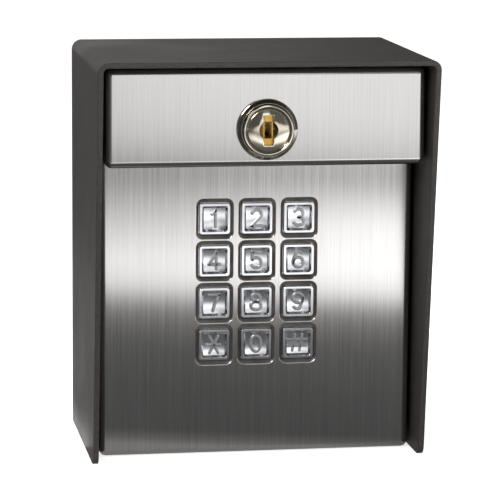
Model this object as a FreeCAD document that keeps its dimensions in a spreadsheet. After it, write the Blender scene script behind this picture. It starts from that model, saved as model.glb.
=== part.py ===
import FreeCAD, Part
import math
import os
import re
import Sketcher

# Surface-mount access keypad: a steel hood, a hinged stepped faceplate with a cam lock
# and twelve metal keys, and the electronics behind them.
# Millimetres. +X to the right, +Y into the wall, +Z up. The origin is at the middle of the
# hood's width and greatest depth, on the plane of its bottom edges.
# "Depth" always means the distance in front of the hood's back face.

os.makedirs("parts", exist_ok=True)
doc = FreeCAD.newDocument("access_keypad")
sheet = doc.addObject("Spreadsheet::Sheet", "Sizes")

SIZES = {
    # hood
    "hood_width": 150,
    "hood_height": 181,
    "top_depth": 110,
    "bottom_depth": 89,
    "hood_wall": 2.5,
    "hood_bend": 4.5,
    "lip_corner": 5,
    "back_wall": 2,
    "floor_clearance": 8.4,
    "wall_hole_pitch_x": 100,
    "wall_hole_pitch_z": 110,
    "wall_hole_radius": 3,
    "wall_hole_height": 88,
    "entry_radius": 11.1,
    # faceplate
    "side_gap": 2,
    "top_gap": 1.5,
    "bottom_gap": 0.6,
    "plate_wall": 1.5,
    "plate_bend": 2.8,
    "header_recess": 11,
    "header_step": 23.5,
    "side_return": 16,
    "top_return": 19,
    "bottom_hem": 5.7,
    "side_relief": 11,
    "side_slope": 14,
    # lock
    "lock_drop": 26.5,
    "lock_barrel_length": 21,
    "lock_head_wall": 2.2,
    "lock_head_lip": 0.6,
    "lock_head_height": 4.6,
    "bezel_width": 1.8,
    "bezel_height": 3.4,
    "plug_face_radius": 9.4,
    "plug_core_wall": 0.75,
    "plug_head_length": 8,
    "key_hole_radius": 3.9,
    "key_slot_width": 4.2,
    "key_slot_height": 13.3,
    "key_slot_length": 20,
    "wafer_count": 6,
    "wafer_inset": 1.9,
    "wafer_thickness": 1,
    "wafer_pitch": 2.6,
    "wafer_window_width": 3.2,
    "wafer_window_height": 7.4,
    "plug_edge": 0.6,
    "plug_crown": 0.35,
    "plug_flat": 0.9,
    "bore_flare_width": 1.2,
    "bore_flare_depth": 0.9,
    "head_chamfer": 0.8,
    "bezel_lip": 0.5,
    "bezel_groove": 0.8,
    "bezel_shoulder": 0.5,
    "washer_rim": 3.5,
    "washer_thickness": 1.2,
    "washer_clearance": 0.5,
    "lock_nut_rim": 2.5,
    "lock_nut_thickness": 4,
    "tail_length": 5,
    "tail_radius": 5,
    "cam_hole_radius": 3,
    "cam_screw_radius": 4.5,
    "cam_screw_height": 2.5,
    "cam_clearance": 2,
    "cam_width": 12,
    "cam_thickness": 2,
    "running_gap": 0.05,
    "strike_gap": 0.6,
    "strike_width": 30,
    "strike_wall": 2,
    "strike_clearance": 1.5,
    "strike_foot_depth": 14,
    # keys
    "key_size": 13.7,
    "key_spacing": 5.35,
    "key_corner": 1.1,
    "key_rim": 0.9,
    "key_dish": 0.9,
    "key_bevel": 0.95,
    "key_proud": 0.3,
    "key_skirt": 1.4,
    "key_skirt_thickness": 1.2,
    "key_stem_radius": 3,
    "key_stem_length": 2.6,
    "key_travel": 1.2,
    "key_clearance": 0.3,
    "top_row_drop": 26.4,
    "well_reach_x": 1.35,
    "well_reach_z": 2,
    "well_corner": 3.2,
    "well_depth": 1.6,
    "well_wall": 1.1,
    "well_lip": 1.4,
    "well_overlap": 0.2,
    # keypad stack
    "frame_margin": 6.5,
    "frame_gap": 0.1,
    "mat_thickness": 1,
    "dome_height": 0.9,
    "dome_radius": 4,
    "board_thickness": 1.6,
    "backing_thickness": 1.5,
    "stud_radius": 1.5,
    "stud_inset": 3.5,
    "stud_clearance": 0.1,
    "stud_tail": 1.5,
    "nut_flats": 5.5,
    "nut_thickness": 2.4,
    # control board
    "standoff_length": 9,
    "standoff_flats": 5.5,
    "control_width": 74,
    "control_height": 62,
    "control_drop": 14,
    "board_margin": 5,
    "relay_x": 16,
    "relay_width": 19,
    "relay_height": 15.5,
    "relay_depth": 15,
    "relay_drop": 17,
    "chip_x": -12,
    "chip_up": -4,
    "chip_width": 18,
    "chip_height": 8,
    "chip_depth": 3.5,
    "sounder_x": 14,
    "sounder_up": -4,
    "sounder_radius": 6,
    "sounder_depth": 8,
    "sounder_hole_radius": 1,
    "sounder_hole_depth": 2,
    "screw_radius": 1.5,
    "screw_head_radius": 2.8,
    "screw_head_height": 2,
    # hinge
    "hinge_margin": 10.5,
    "knuckle_radius": 2.6,
    "pin_radius": 1.2,
    "leaf_thickness": 1.2,
    "moving_leaf_height": 19,
    "fixed_leaf_depth": 20,
    "knuckle_gap": 0.3,
    "hinge_height": 4.9,
    "rail_wall": 1.5,
    "rail_depth": 13,
    # stops and seals
    "stop_width": 9,
    "stop_depth": 12,
    "stop_bottom": 14,
    "stop_top_drop": 16,
    "seal_thickness": 2,
    "seal_width": 6,
    "body_gap": 0.35,
    # cable grommet and earth stud
    "grommet_bore": 6.5,
    "grommet_flange_radius": 14,
    "grommet_flange": 2.5,
    "grommet_chamfer": 1,
    "earth_stud_radius": 2,
    "earth_stud_length": 14,
    "earth_nut_flats": 7,
    "earth_nut_thickness": 3,
    "earth_nut_seat": 3,
    "earth_x": 50,
    "earth_z": 22,
    # small rounds and board parts
    "screw_head_round": 0.8,
    "cam_corner": 3,
    "relay_round": 1,
    "terminal_count": 8,
    "terminal_pitch": 5,
    "terminal_rise": 12,
    "terminal_height": 9,
    "terminal_depth": 10,
    "terminal_well_radius": 1.7,
    "terminal_well_depth": 2,
    "wire_mouth_rib": 1.4,
    "wire_mouth_height": 3.5,
    "wire_mouth_depth": 4,
    "wire_mouth_offset": 2,
    # how far a cutter runs past what it cuts
    "overcut": 1,
    "floor_overcut": 20,
}
for row, (alias, number) in enumerate(SIZES.items(), start=1):
    sheet.set(f"A{row}", str(number))
    sheet.setAlias(f"A{row}", alias)
doc.recompute()

# Places that follow from the sizes, written as expressions of their names.
PLACES = {
    "back_y": "top_depth / 2",
    "inner_half": "(hood_width / 2 - hood_wall)",
    "roof_z": "(hood_height - hood_wall)",
    "plate_width": "(hood_width - 2 * hood_wall - 2 * side_gap)",
    "plate_top": "(roof_z - top_gap)",
    "header_front": "(top_depth - header_recess)",
    "header_base": "(lock_z - washer_radius - washer_clearance - plate_wall)",
    "panel_front": "(header_front - header_step)",
    "panel_back": "(panel_front - plate_wall)",
    "side_back": "(panel_front - side_return)",
    "top_back": "(header_front - top_return)",
    "lock_z": "(plate_top - lock_drop)",
    "lock_back": "(header_front - lock_barrel_length)",
    "cam_front": "(lock_back - tail_length)",
    "key_row_z": "(header_base - top_row_drop)",
    "keypad_mid_z": "(key_row_z - 1.5 * key_pitch)",
    "key_front": "(panel_front + key_proud)",
    "well_back": "(panel_front - well_depth - well_lip)",
    "skirt_front": "(well_back - key_clearance)",
    "stem_back": "(skirt_front - key_skirt_thickness - key_stem_length)",
    "frame_front": "(well_back - frame_gap)",
    "mat_front": "(stem_back - key_travel - key_clearance - dome_height)",
    "board_front": "(mat_front - mat_thickness)",
    "backing_front": "(board_front - board_thickness)",
    "backing_back": "(backing_front - backing_thickness)",
    "control_front": "(backing_back - standoff_length)",
    "control_back": "(control_front - board_thickness)",
    "keypad_width": "(2 * key_pitch + well_width + 2 * frame_margin)",
    "keypad_height": "(3 * key_pitch + well_height + 2 * frame_margin)",
    "stud_x": "(keypad_width / 2 - stud_inset)",
    "stud_z": "(keypad_height / 2 - stud_inset)",
    "control_mid_z": "(keypad_mid_z + control_drop / 2)",
    "pin_depth": "(panel_back - knuckle_radius)",
    "pin_z": "(bottom_gap + hinge_height)",
    "leaf_top": "(pin_z + knuckle_radius)",
    "leaf_base": "(leaf_top - leaf_thickness)",
    "knuckle_length": "((hinge_length - 4 * knuckle_gap) / 5)",
    "header_back": "(header_front - plate_wall)",
    "lock_face": "(header_front + lock_head_height)",
    "strike_front": "(cam_front + strike_gap + strike_wall)",
    "stop_front": "(side_back - body_gap - seal_thickness)",
    "stop_height": "(header_base - stop_top_drop - stop_bottom)",
    "throat": "(key_size + 2 * key_clearance)",
    "key_pitch": "(key_size + key_spacing)",
    "well_width": "(throat + 2 * well_reach_x)",
    "well_height": "(throat + 2 * well_reach_z)",
    "hinge_length": "(plate_width - 2 * hinge_margin)",
    "floor_depth": "(pin_depth - floor_clearance)",
    "lock_head_radius": "(plug_face_radius + lock_head_wall)",
    "lock_barrel_radius": "(lock_head_radius - lock_head_lip)",
    "bezel_radius": "(lock_head_radius + bezel_width)",
    "bezel_front": "(header_front + bezel_height)",
    "washer_radius": "(lock_barrel_radius + washer_rim)",
    "washer_back": "(header_back - washer_thickness)",
    "plug_head_back": "(lock_face - plug_head_length + 2 * running_gap)",
    "wafer_front": "(lock_face - wafer_inset)",
    "terminal_z": "(control_mid_z - control_height / 2 + terminal_rise)",
    "plug_core_radius": "(key_slot_height / 2 + plug_core_wall)",
    "strike_reach": "(roof_z - lock_z - lock_barrel_radius - strike_clearance)",
    "cam_length": "(roof_z - strike_wall - lock_z - cam_clearance)",
}
WORDS = re.compile(r"[a-z][a-z_]*")


def full(text):
    """A size or place name, or an expression of them, as FreeCAD reads it."""
    def swap(match):
        word = match.group(0)
        if word in SIZES:
            return "Sizes." + word
        if word in PLACES:
            return "(" + full(PLACES[word]) + ")"
        return word
    return WORDS.sub(swap, str(text))


def bind(item, prop, text):
    item.setExpression(prop, full(text))


def at(item, x, depth, z):
    """Puts an item's own origin at x, depth and z."""
    bind(item, "Placement.Base.x", x)
    bind(item, "Placement.Base.y", f"back_y - ({depth})")
    bind(item, "Placement.Base.z", z)
    return item


# Part primitives -----------------------------------------------------------------

TO_BACK = FreeCAD.Rotation(FreeCAD.Vector(1, 0, 0), -90)
TO_RIGHT = FreeCAD.Rotation(FreeCAD.Vector(0, 1, 0), 90)


def block(name, x, width, front, thickness, z, height):
    """A box centred on x, from its front face back by its thickness, and up from z."""
    item = doc.addObject("Part::Box", name)
    bind(item, "Length", width)
    bind(item, "Width", thickness)
    bind(item, "Height", height)
    return at(item, f"({x}) - ({width}) / 2", front, z)


def rod(name, radius, x, front, length, z):
    """A cylinder along Y, from its front end back."""
    item = doc.addObject("Part::Cylinder", name)
    bind(item, "Radius", radius)
    bind(item, "Height", length)
    item.Placement.Rotation = TO_BACK
    return at(item, x, front, z)


def crossbar(name, radius, x, length, depth, z):
    """A cylinder along X, from x to the right."""
    item = doc.addObject("Part::Cylinder", name)
    bind(item, "Radius", radius)
    bind(item, "Height", length)
    item.Placement.Rotation = TO_RIGHT
    return at(item, x, depth, z)


def post(name, radius, x, depth, z, length):
    """A cylinder along Z, from z up."""
    item = doc.addObject("Part::Cylinder", name)
    bind(item, "Radius", radius)
    bind(item, "Height", length)
    return at(item, x, depth, z)


def hexagon(name, flats, x, front, length, z):
    """A hexagonal bar along Y, from its front end back."""
    item = doc.addObject("Part::Prism", name)
    item.Polygon = 6
    bind(item, "Circumradius", f"({flats}) / 2 / cos(30)")
    bind(item, "Height", length)
    item.Placement.Rotation = TO_BACK
    return at(item, x, front, z)


def fuse(name, items):
    if len(items) == 1:
        return items[0]
    item = doc.addObject("Part::MultiFuse", name)
    item.Shapes = items
    item.Refine = True
    return item


def cut(name, base, tools):
    item = doc.addObject("Part::Cut", name)
    item.Base = base
    item.Tool = fuse(name + "_cutters", tools)
    return item


def group(name, items):
    item = doc.addObject("Part::Compound", name)
    item.Links = items
    return item


def rounded(name, base, size, chosen):
    """Fillets the edges of a solid that the function chosen picks by their box."""
    doc.recompute()
    radius = float(sheet.get(size))
    edges = []
    for index, edge in enumerate(base.Shape.Edges, start=1):
        if chosen(edge.BoundBox):
            edges.append((index, radius, radius))
    item = doc.addObject("Part::Fillet", name)
    item.Base = base
    item.Edges = edges
    return item


def along_y(box):
    return box.XLength < 1e-4 and box.ZLength < 1e-4


# Sketches and bodies -------------------------------------------------------------

def number(text):
    """The present value of an expression of sizes and places."""
    return float(sheet.evalExpression(full(text)))


def point(across, up):
    return FreeCAD.Vector(number(across), number(up), 0)


def new_body(name):
    return doc.addObject("PartDesign::Body", name)


def new_sketch(body, name, role, front="0"):
    """A sketch on one of the body's own planes, moved along that plane's normal."""
    sketch = body.newObject("Sketcher::SketchObject", name)
    plane = next(f for f in body.Origin.OriginFeatures if f.Role == role)
    sketch.AttachmentSupport = [(plane, "")]
    sketch.MapMode = "FlatFace"
    bind(sketch, "AttachmentOffset.Base.z", front)
    return sketch


def dimension(sketch, name, text, *picks):
    """A named driving dimension bound to an expression."""
    kind = name.split("_")[0]
    index = sketch.addConstraint(Sketcher.Constraint(kind, *picks, number(text)))
    sketch.renameConstraint(index, name)
    bind(sketch, f"Constraints.{name}", text)


def outline(body, name, role, corners):
    """A closed sketch of straight lines, its corners given as expressions."""
    sketch = new_sketch(body, name, role)
    count = len(corners)
    for i, corner in enumerate(corners):
        line = Part.LineSegment(point(*corner), point(*corners[(i + 1) % count]))
        sketch.addGeometry(line, False)
    for i, (across, up) in enumerate(corners):
        sketch.addConstraint(Sketcher.Constraint("Coincident", i, 2, (i + 1) % count, 1))
        dimension(sketch, f"DistanceX_{i}", across, -1, 1, i, 1)
        dimension(sketch, f"DistanceY_{i}", up, -1, 1, i, 1)
    return sketch


def rounded_outline(body, name, front, x, z, width, height, radius):
    """A rectangle with round corners, facing the front, centred on x and z."""
    sketch = new_sketch(body, name, "XZ_Plane", front)
    turns = ((1, 1), (-1, 1), (-1, -1), (1, -1))
    centres = []
    for side, level in turns:
        across = f"({x}) + ({side}) * (({width}) / 2 - ({radius}))"
        up = f"({z}) + ({level}) * (({height}) / 2 - ({radius}))"
        centres.append((across, up))
    r = number(radius)
    for i, centre in enumerate(centres):
        circle = Part.Circle(point(*centre), FreeCAD.Vector(0, 0, 1), r)
        arc = Part.ArcOfCircle(circle, i * math.pi / 2, (i + 1) * math.pi / 2)
        sketch.addGeometry(arc, False)
    for i in range(4):
        begin = sketch.getPoint(i, 2)
        end = sketch.getPoint((i + 1) % 4, 1)
        sketch.addGeometry(Part.LineSegment(begin, end), False)
    for i, (across, up) in enumerate(centres):
        sketch.addConstraint(Sketcher.Constraint("Tangent", i, 2, 4 + i, 1))
        sketch.addConstraint(Sketcher.Constraint("Tangent", 4 + i, 2, (i + 1) % 4, 1))
        dimension(sketch, f"DistanceX_{i}", across, -1, 1, i, 3)
        dimension(sketch, f"DistanceY_{i}", up, -1, 1, i, 3)
    for i in range(1, 4):
        sketch.addConstraint(Sketcher.Constraint("Equal", 0, i))
    dimension(sketch, "Radius_corner", radius, 0)
    return sketch


def pad(body, sketch, length, symmetric=False, backwards=False):
    item = body.newObject("PartDesign::Pad", sketch.Name + "_pad")
    item.Profile = sketch
    item.SideType = "Symmetric" if symmetric else "One side"
    item.Reversed = backwards
    bind(item, "Length", length)
    return item


def pocket(body, sketch, length, symmetric=False, backwards=False):
    item = body.newObject("PartDesign::Pocket", sketch.Name + "_pocket")
    item.Profile = sketch
    item.SideType = "Symmetric" if symmetric else "One side"
    item.Reversed = backwards
    bind(item, "Length", length)
    return item


def hollow_loft(body, near, far):
    item = body.newObject("PartDesign::SubtractiveLoft", near.Name + "_loft")
    item.Profile = near
    item.Sections = [far]
    return item


def soften(body, name, size, chosen):
    """A fillet on the tip's edges that the function chosen picks by their box."""
    doc.recompute()
    tip = body.Tip
    edges = []
    for index, edge in enumerate(tip.Shape.Edges, start=1):
        if chosen(edge.BoundBox):
            edges.append(f"Edge{index}")
    item = body.newObject("PartDesign::Fillet", name)
    item.Base = (tip, edges)
    bind(item, "Radius", size)
    return item


def turned(name, x, z, corners):
    """A solid of revolution about an axis along Y; corners are depth and radius."""
    body = new_body(name)
    body_corners = [(f"back_y - ({depth})", radius) for depth, radius in corners]
    sketch = outline(body, name + "_section", "YZ_Plane", body_corners)
    spin = body.newObject("PartDesign::Revolution", name + "_turn")
    spin.Profile = sketch
    spin.ReferenceAxis = (sketch, ["H_Axis"])
    spin.Angle = 360
    bind(body, "Placement.Base.x", x)
    bind(body, "Placement.Base.z", z)
    return body


def near(value, text):
    return abs(value - number(text)) < 1e-3


# Hood ----------------------------------------------------------------------------

def hood_wrap():
    """Roof and two sides bent from one sheet, the front edges raked back to the bottom."""
    body = new_body("wrap")
    side = [
        ("back_y", "0"),
        ("back_y", "hood_height"),
        ("back_y - top_depth", "hood_height"),
        ("back_y - bottom_depth", "0"),
    ]
    pad(body, outline(body, "wrap_side", "YZ_Plane", side), "hood_width", symmetric=True)
    soften(body, "wrap_bends", "hood_bend",
           lambda b: along_y(b) and near(b.ZMin, "hood_height"))
    soften(body, "wrap_lip_corners", "lip_corner",
           lambda b: near(b.ZMax, "0") and b.XLength > 1 and near(b.YMin, "back_y - bottom_depth"))
    inside = rounded_outline(body, "wrap_inside", "0", "0", "(roof_z - floor_overcut) / 2",
                             "2 * inner_half", "roof_z + floor_overcut", "hood_bend - hood_wall")
    pocket(body, inside, "3 * top_depth", symmetric=True)
    return body


def back_plate():
    """Back and floor folded from one sheet, welded inside the wrap."""
    body = new_body("back_blank")
    section = [
        ("back_y", "0"),
        ("back_y", "roof_z"),
        ("back_y - back_wall", "roof_z"),
        ("back_y - back_wall", "back_wall"),
        ("back_y - floor_depth", "back_wall"),
        ("back_y - floor_depth", "0"),
    ]
    pad(body, outline(body, "back_section", "YZ_Plane", section), "2 * inner_half", symmetric=True)
    soften(body, "back_corners", "hood_bend - hood_wall",
           lambda b: along_y(b) and near(b.ZMin, "roof_z"))
    holes = [rod("entry_hole", "entry_radius", "0", "back_wall + overcut",
                 "back_wall + 2 * overcut", "wall_hole_height")]
    for i, (side, level) in enumerate(((-1, -1), (1, -1), (-1, 1), (1, 1))):
        holes.append(rod(f"wall_hole_{i}", "wall_hole_radius", f"{side} * wall_hole_pitch_x / 2",
                         "back_wall + overcut", "back_wall + 2 * overcut",
                         f"wall_hole_height + {level} * wall_hole_pitch_z / 2"))
    return cut("back_cut", body, holes)


def cable_grommet():
    """Rubber grommet in the back's cable entry, flush with the back face."""
    return turned("grommet", "0", "wall_hole_height", [
        ("0", "grommet_bore"),
        ("back_wall + grommet_flange", "grommet_bore"),
        ("back_wall + grommet_flange", "grommet_flange_radius - grommet_chamfer"),
        ("back_wall + grommet_flange - grommet_chamfer", "grommet_flange_radius"),
        ("back_wall", "grommet_flange_radius"),
        ("back_wall", "entry_radius"),
        ("0", "entry_radius"),
    ])


def strike_bracket():
    """Angle hung from the roof; the cam turns up behind its leg."""
    foot = block("strike_foot", "0", "strike_width", "strike_front", "strike_foot_depth",
                 "roof_z - strike_wall", "strike_wall")
    leg = block("strike_leg", "0", "strike_width", "strike_front", "strike_wall",
                "roof_z - strike_reach", "strike_reach")
    return fuse("strike", [foot, leg])


def stop_rail(name, side):
    """Angle welded inside one side wall; its front flange stops the faceplate."""
    outer = "inner_half"
    wall = block(name + "_wall", f"{side} * ({outer} - rail_wall / 2)", "rail_wall",
                 "stop_front", "stop_depth", "stop_bottom", "stop_height")
    flange = block(name + "_flange", f"{side} * ({outer} - stop_width / 2)", "stop_width",
                   "stop_front", "rail_wall", "stop_bottom", "stop_height")
    return fuse(name + "_angle", [wall, flange])


def side_seal(name, side):
    """Foam strip on the stop rail's front flange."""
    return block(name + "_foam", f"{side} * (inner_half - stop_width / 2)", "seal_width",
                 "stop_front + seal_thickness", "seal_thickness", "stop_bottom", "stop_height")


def hinge_rail():
    """Channel on the floor that carries the fixed hinge leaf."""
    top = block("rail_top", "0", "hinge_length", "floor_depth", "rail_depth",
                "leaf_base - rail_wall", "rail_wall")
    legs = [
        block("rail_front_leg", "0", "hinge_length", "floor_depth", "rail_wall",
              "back_wall", "leaf_base - back_wall"),
        block("rail_back_leg", "0", "hinge_length", "floor_depth - rail_depth + rail_wall",
              "rail_wall", "back_wall", "leaf_base - back_wall"),
    ]
    return cut("rail_drilled", fuse("rail", [top] + legs), hinge_screw_shanks("rail_hole", "0"))


def hinge_screw_shanks(name, slack):
    items = []
    for i in range(4):
        x = f"({i} - 1.5) * hinge_length / 4"
        items.append(post(f"{name}_{i}", f"screw_radius + {slack}", x,
                          "floor_depth - rail_depth / 2", "leaf_base - rail_wall", "rail_wall + leaf_thickness"))
    return items


def knuckle_start(index):
    return f"(-hinge_length / 2 + {index} * (knuckle_length + knuckle_gap))"


def knuckles(name, indexes, bore):
    """Hinge barrels and, separately, the rods that bore them."""
    barrels = []
    bores = []
    for i in indexes:
        barrels.append(crossbar(f"{name}_{i}", "knuckle_radius", knuckle_start(i),
                                "knuckle_length", "pin_depth", "pin_z"))
        bores.append(crossbar(f"{name}_bore_{i}", bore, knuckle_start(i) + " - overcut",
                              "knuckle_length + 2 * overcut", "pin_depth", "pin_z"))
    return barrels, bores


def hinge_leaf_fixed():
    """Horizontal leaf on the rail with the first, third and fifth knuckles."""
    leaf = block("fixed_leaf", "0", "hinge_length", "pin_depth", "fixed_leaf_depth",
                 "leaf_base", "leaf_thickness")
    reliefs = []
    for i in (1, 3):
        reliefs.append(block(f"fixed_relief_{i}", knuckle_start(i) + " + knuckle_length / 2",
                             "knuckle_length + 2 * knuckle_gap", "pin_depth + overcut",
                             "knuckle_radius + 2 * overcut", "leaf_base - overcut",
                             "leaf_thickness + 2 * overcut"))
    barrels, bores = knuckles("fixed_knuckle", (0, 2, 4), "pin_radius")
    solid = fuse("fixed_hinge_half", [cut("fixed_leaf_cut", leaf, reliefs)] + barrels)
    return cut("fixed_hinge_bored", solid, bores + hinge_screw_shanks("fixed_leaf_hole", "0"))


def hinge_leaf_moving():
    """Upright leaf spot-welded inside the faceplate with the second and fourth knuckles."""
    leaf = block("moving_leaf", "0", "hinge_length", "panel_back", "leaf_thickness",
                 "pin_z", "moving_leaf_height")
    reliefs = []
    for i in (0, 2, 4):
        reliefs.append(block(f"moving_relief_{i}", knuckle_start(i) + " + knuckle_length / 2",
                             "knuckle_length + 2 * knuckle_gap", "panel_back + overcut",
                             "leaf_thickness + 2 * overcut", "pin_z - overcut",
                             "knuckle_radius + 2 * overcut"))
    barrels, bores = knuckles("moving_knuckle", (1, 3), "pin_radius + running_gap")
    solid = fuse("moving_hinge_half", [cut("moving_leaf_cut", leaf, reliefs)] + barrels)
    return cut("moving_hinge_bored", solid, bores)


def hinge_pin():
    return crossbar("pin", "pin_radius", "-hinge_length / 2", "hinge_length", "pin_depth", "pin_z")


def hinge_screws():
    """Four pan-head screws through the fixed leaf into the rail."""
    screws = []
    for i, shank in enumerate(hinge_screw_shanks("hinge_screw_shank", "0")):
        head = post(f"hinge_screw_head_{i}", "screw_head_radius", f"({i} - 1.5) * hinge_length / 4",
                    "floor_depth - rail_depth / 2", "leaf_top", "screw_head_height")
        screws.append(rounded_head(f"hinge_screw_{i}", shank, head))
    return group("hinge_screw_set", screws)


def rounded_head(name, shank, head):
    doc.recompute()
    dome = rounded(name + "_dome", head, "screw_head_round", lambda b: is_far_rim(head, shank, b))
    return fuse(name, [shank, dome])


def is_far_rim(head, shank, box):
    """True for the rim of a head that lies furthest from its shank."""
    from_shank = box.Center - shank.Shape.BoundBox.Center
    head_from_shank = head.Shape.BoundBox.Center - shank.Shape.BoundBox.Center
    circle = max(box.XLength, box.YLength, box.ZLength) > 1
    flat = min(box.XLength, box.YLength, box.ZLength) < 1e-3
    seam = sorted((box.XLength, box.YLength, box.ZLength))[1] < 1e-3
    return circle and flat and not seam and from_shank.Length > head_from_shank.Length


def earth_stud():
    """Welded stud on the back plate for the earth wire."""
    return rod("earth_rod", "earth_stud_radius", "earth_x", "back_wall + earth_stud_length",
               "earth_stud_length", "earth_z")


def earth_nut():
    front = "back_wall + earth_nut_seat + earth_nut_thickness"
    body = hexagon("earth_hex", "earth_nut_flats", "earth_x", front, "earth_nut_thickness", "earth_z")
    hole = rod("earth_nut_hole", "earth_stud_radius", "earth_x", front + " + overcut",
               "earth_nut_thickness + 2 * overcut", "earth_z")
    return cut("earth_nut_bored", body, [hole])


# Faceplate -----------------------------------------------------------------------

def grid():
    """Column and row of every key, counted from the middle column and the top row."""
    return [(column, row) for row in range(4) for column in (-1, 0, 1)]


def key_place(column, row):
    return f"{column} * key_pitch", f"key_row_z - {row} * key_pitch"


def faceplate():
    """Stepped pan: a header that stands out over a recessed panel with twelve wells."""
    body = new_body("pan")
    outside = [
        ("back_y - side_back", "bottom_gap + side_relief"),
        ("back_y - panel_front + bottom_hem", "bottom_gap"),
        ("back_y - panel_front", "bottom_gap"),
        ("back_y - panel_front", "header_base"),
        ("back_y - header_front", "header_base"),
        ("back_y - header_front", "plate_top"),
        ("back_y - top_back", "plate_top"),
        ("back_y - top_back", "header_base + side_slope"),
        ("back_y - side_back", "header_base + side_slope - (top_back - side_back)"),
    ]
    pad(body, outline(body, "pan_outside", "YZ_Plane", outside), "plate_width", symmetric=True)

    def front_edge(b):
        on_header = near(b.YMin, "back_y - header_front") and b.YLength < 1e-3
        on_panel = near(b.YMin, "back_y - panel_front") and b.YLength < 1e-3
        inner_corner = on_panel and near(b.ZMin, "header_base") and b.ZLength < 1e-3
        return (on_header or on_panel) and not inner_corner
    soften(body, "pan_bends", "plate_bend", front_edge)
    inside = [
        ("back_y - side_back + overcut", "bottom_gap - overcut"),
        ("back_y - panel_front + bottom_hem", "bottom_gap - overcut"),
        ("back_y - panel_front + bottom_hem", "bottom_gap + plate_wall"),
        ("back_y - panel_back", "bottom_gap + plate_wall"),
        ("back_y - panel_back", "header_base + plate_wall"),
        ("back_y - header_back", "header_base + plate_wall"),
        ("back_y - header_back", "plate_top - plate_wall"),
        ("back_y - top_back + overcut", "plate_top - plate_wall"),
        ("back_y - top_back + overcut", "header_base + side_slope"),
        ("back_y - side_back + overcut", "header_base + side_slope - (top_back - side_back)"),
    ]
    hollow = outline(body, "pan_inside", "YZ_Plane", inside)
    pocket(body, hollow, "plate_width - 2 * plate_wall", symmetric=True)
    wells(body)
    lock_hole = rod("lock_hole", "lock_barrel_radius + running_gap", "0", "header_front + overcut",
                    "plate_wall + 2 * overcut", "lock_z")
    return cut("pan_bored", body, [lock_hole])


def wells(body):
    """Twelve dished wells: a rolled-in lip, a sloping wall and a straight throat."""
    x, z = key_place(-1, 0)
    lip = rounded_outline(body, "lip", "panel_back - back_y + well_overlap", x, z,
                          "throat + 2 * well_wall", "throat + 2 * well_wall", "key_corner + well_wall")
    lip_pad = pad(body, lip, "panel_back - well_back + well_overlap", backwards=True)
    repeat(body, "lips", lip_pad)
    mouth = rounded_outline(body, "mouth", "panel_front - back_y", x, z,
                            "well_width", "well_height", "well_corner")
    neck = rounded_outline(body, "neck", "panel_front - well_depth - back_y", x, z,
                           "throat", "throat", "key_corner + key_clearance")
    dish = hollow_loft(body, mouth, neck)
    repeat(body, "dishes", dish)
    throat = rounded_outline(body, "throat_cut", "panel_front - well_depth - back_y", x, z,
                             "throat", "throat", "key_corner + key_clearance")
    opening = pocket(body, throat, "well_lip + well_depth")
    repeat(body, "throats", opening)


def repeat(body, name, feature):
    """Repeats a feature of the top left key three times across and four times down."""
    across = body.newObject("PartDesign::LinearPattern", name + "_across")
    down = body.newObject("PartDesign::LinearPattern", name + "_down")
    both = body.newObject("PartDesign::MultiTransform", name)
    sketch = feature.Profile[0]
    for pattern, axis, count, backwards in ((across, "H_Axis", 3, False), (down, "V_Axis", 4, True)):
        pattern.Direction = (sketch, [axis])
        pattern.Occurrences = count
        pattern.Reversed = backwards
        bind(pattern, "Length", f"key_pitch * {count - 1}")
    both.Originals = [feature]
    both.Transformations = [across, down]
    body.Tip = both
    return both


# Lock ----------------------------------------------------------------------------

def lock_body():
    """Barrel through the header with a round head in front, bored for the plug."""
    return turned("barrel", "0", "lock_z", [
        ("lock_back", "plug_core_radius + running_gap"),
        ("lock_face - plug_head_length", "plug_core_radius + running_gap"),
        ("lock_face - plug_head_length", "plug_face_radius + running_gap"),
        ("lock_face - bore_flare_depth", "plug_face_radius + running_gap"),
        ("lock_face", "plug_face_radius + bore_flare_width"),
        ("lock_face - head_chamfer", "lock_head_radius"),
        ("header_front", "lock_head_radius"),
        ("header_front", "lock_barrel_radius"),
        ("lock_back", "lock_barrel_radius"),
    ])


def lock_bezel():
    """Stepped dress ring round the lock's head."""
    return turned("bezel", "0", "lock_z", [
        ("header_front", "lock_head_radius"),
        ("bezel_front", "lock_head_radius"),
        ("bezel_front", "lock_head_radius + bezel_lip"),
        ("bezel_front - bezel_groove", "lock_head_radius + bezel_lip"),
        ("bezel_front - bezel_groove", "bezel_radius - bezel_shoulder"),
        ("bezel_front - bezel_groove - bezel_shoulder", "bezel_radius"),
        ("header_front", "bezel_radius"),
    ])


def lock_washer():
    return turned("washer", "0", "lock_z", [
        ("header_back", "lock_barrel_radius"),
        ("header_back", "washer_radius"),
        ("washer_back", "washer_radius"),
        ("washer_back", "lock_barrel_radius"),
    ])


def lock_nut():
    nut = hexagon("big_nut", "2 * (lock_barrel_radius + lock_nut_rim)", "0", "washer_back",
                  "lock_nut_thickness", "lock_z")
    hole = rod("big_nut_hole", "lock_barrel_radius", "0", "washer_back + overcut",
               "lock_nut_thickness + 2 * overcut", "lock_z")
    return cut("big_nut_bored", nut, [hole])


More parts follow.
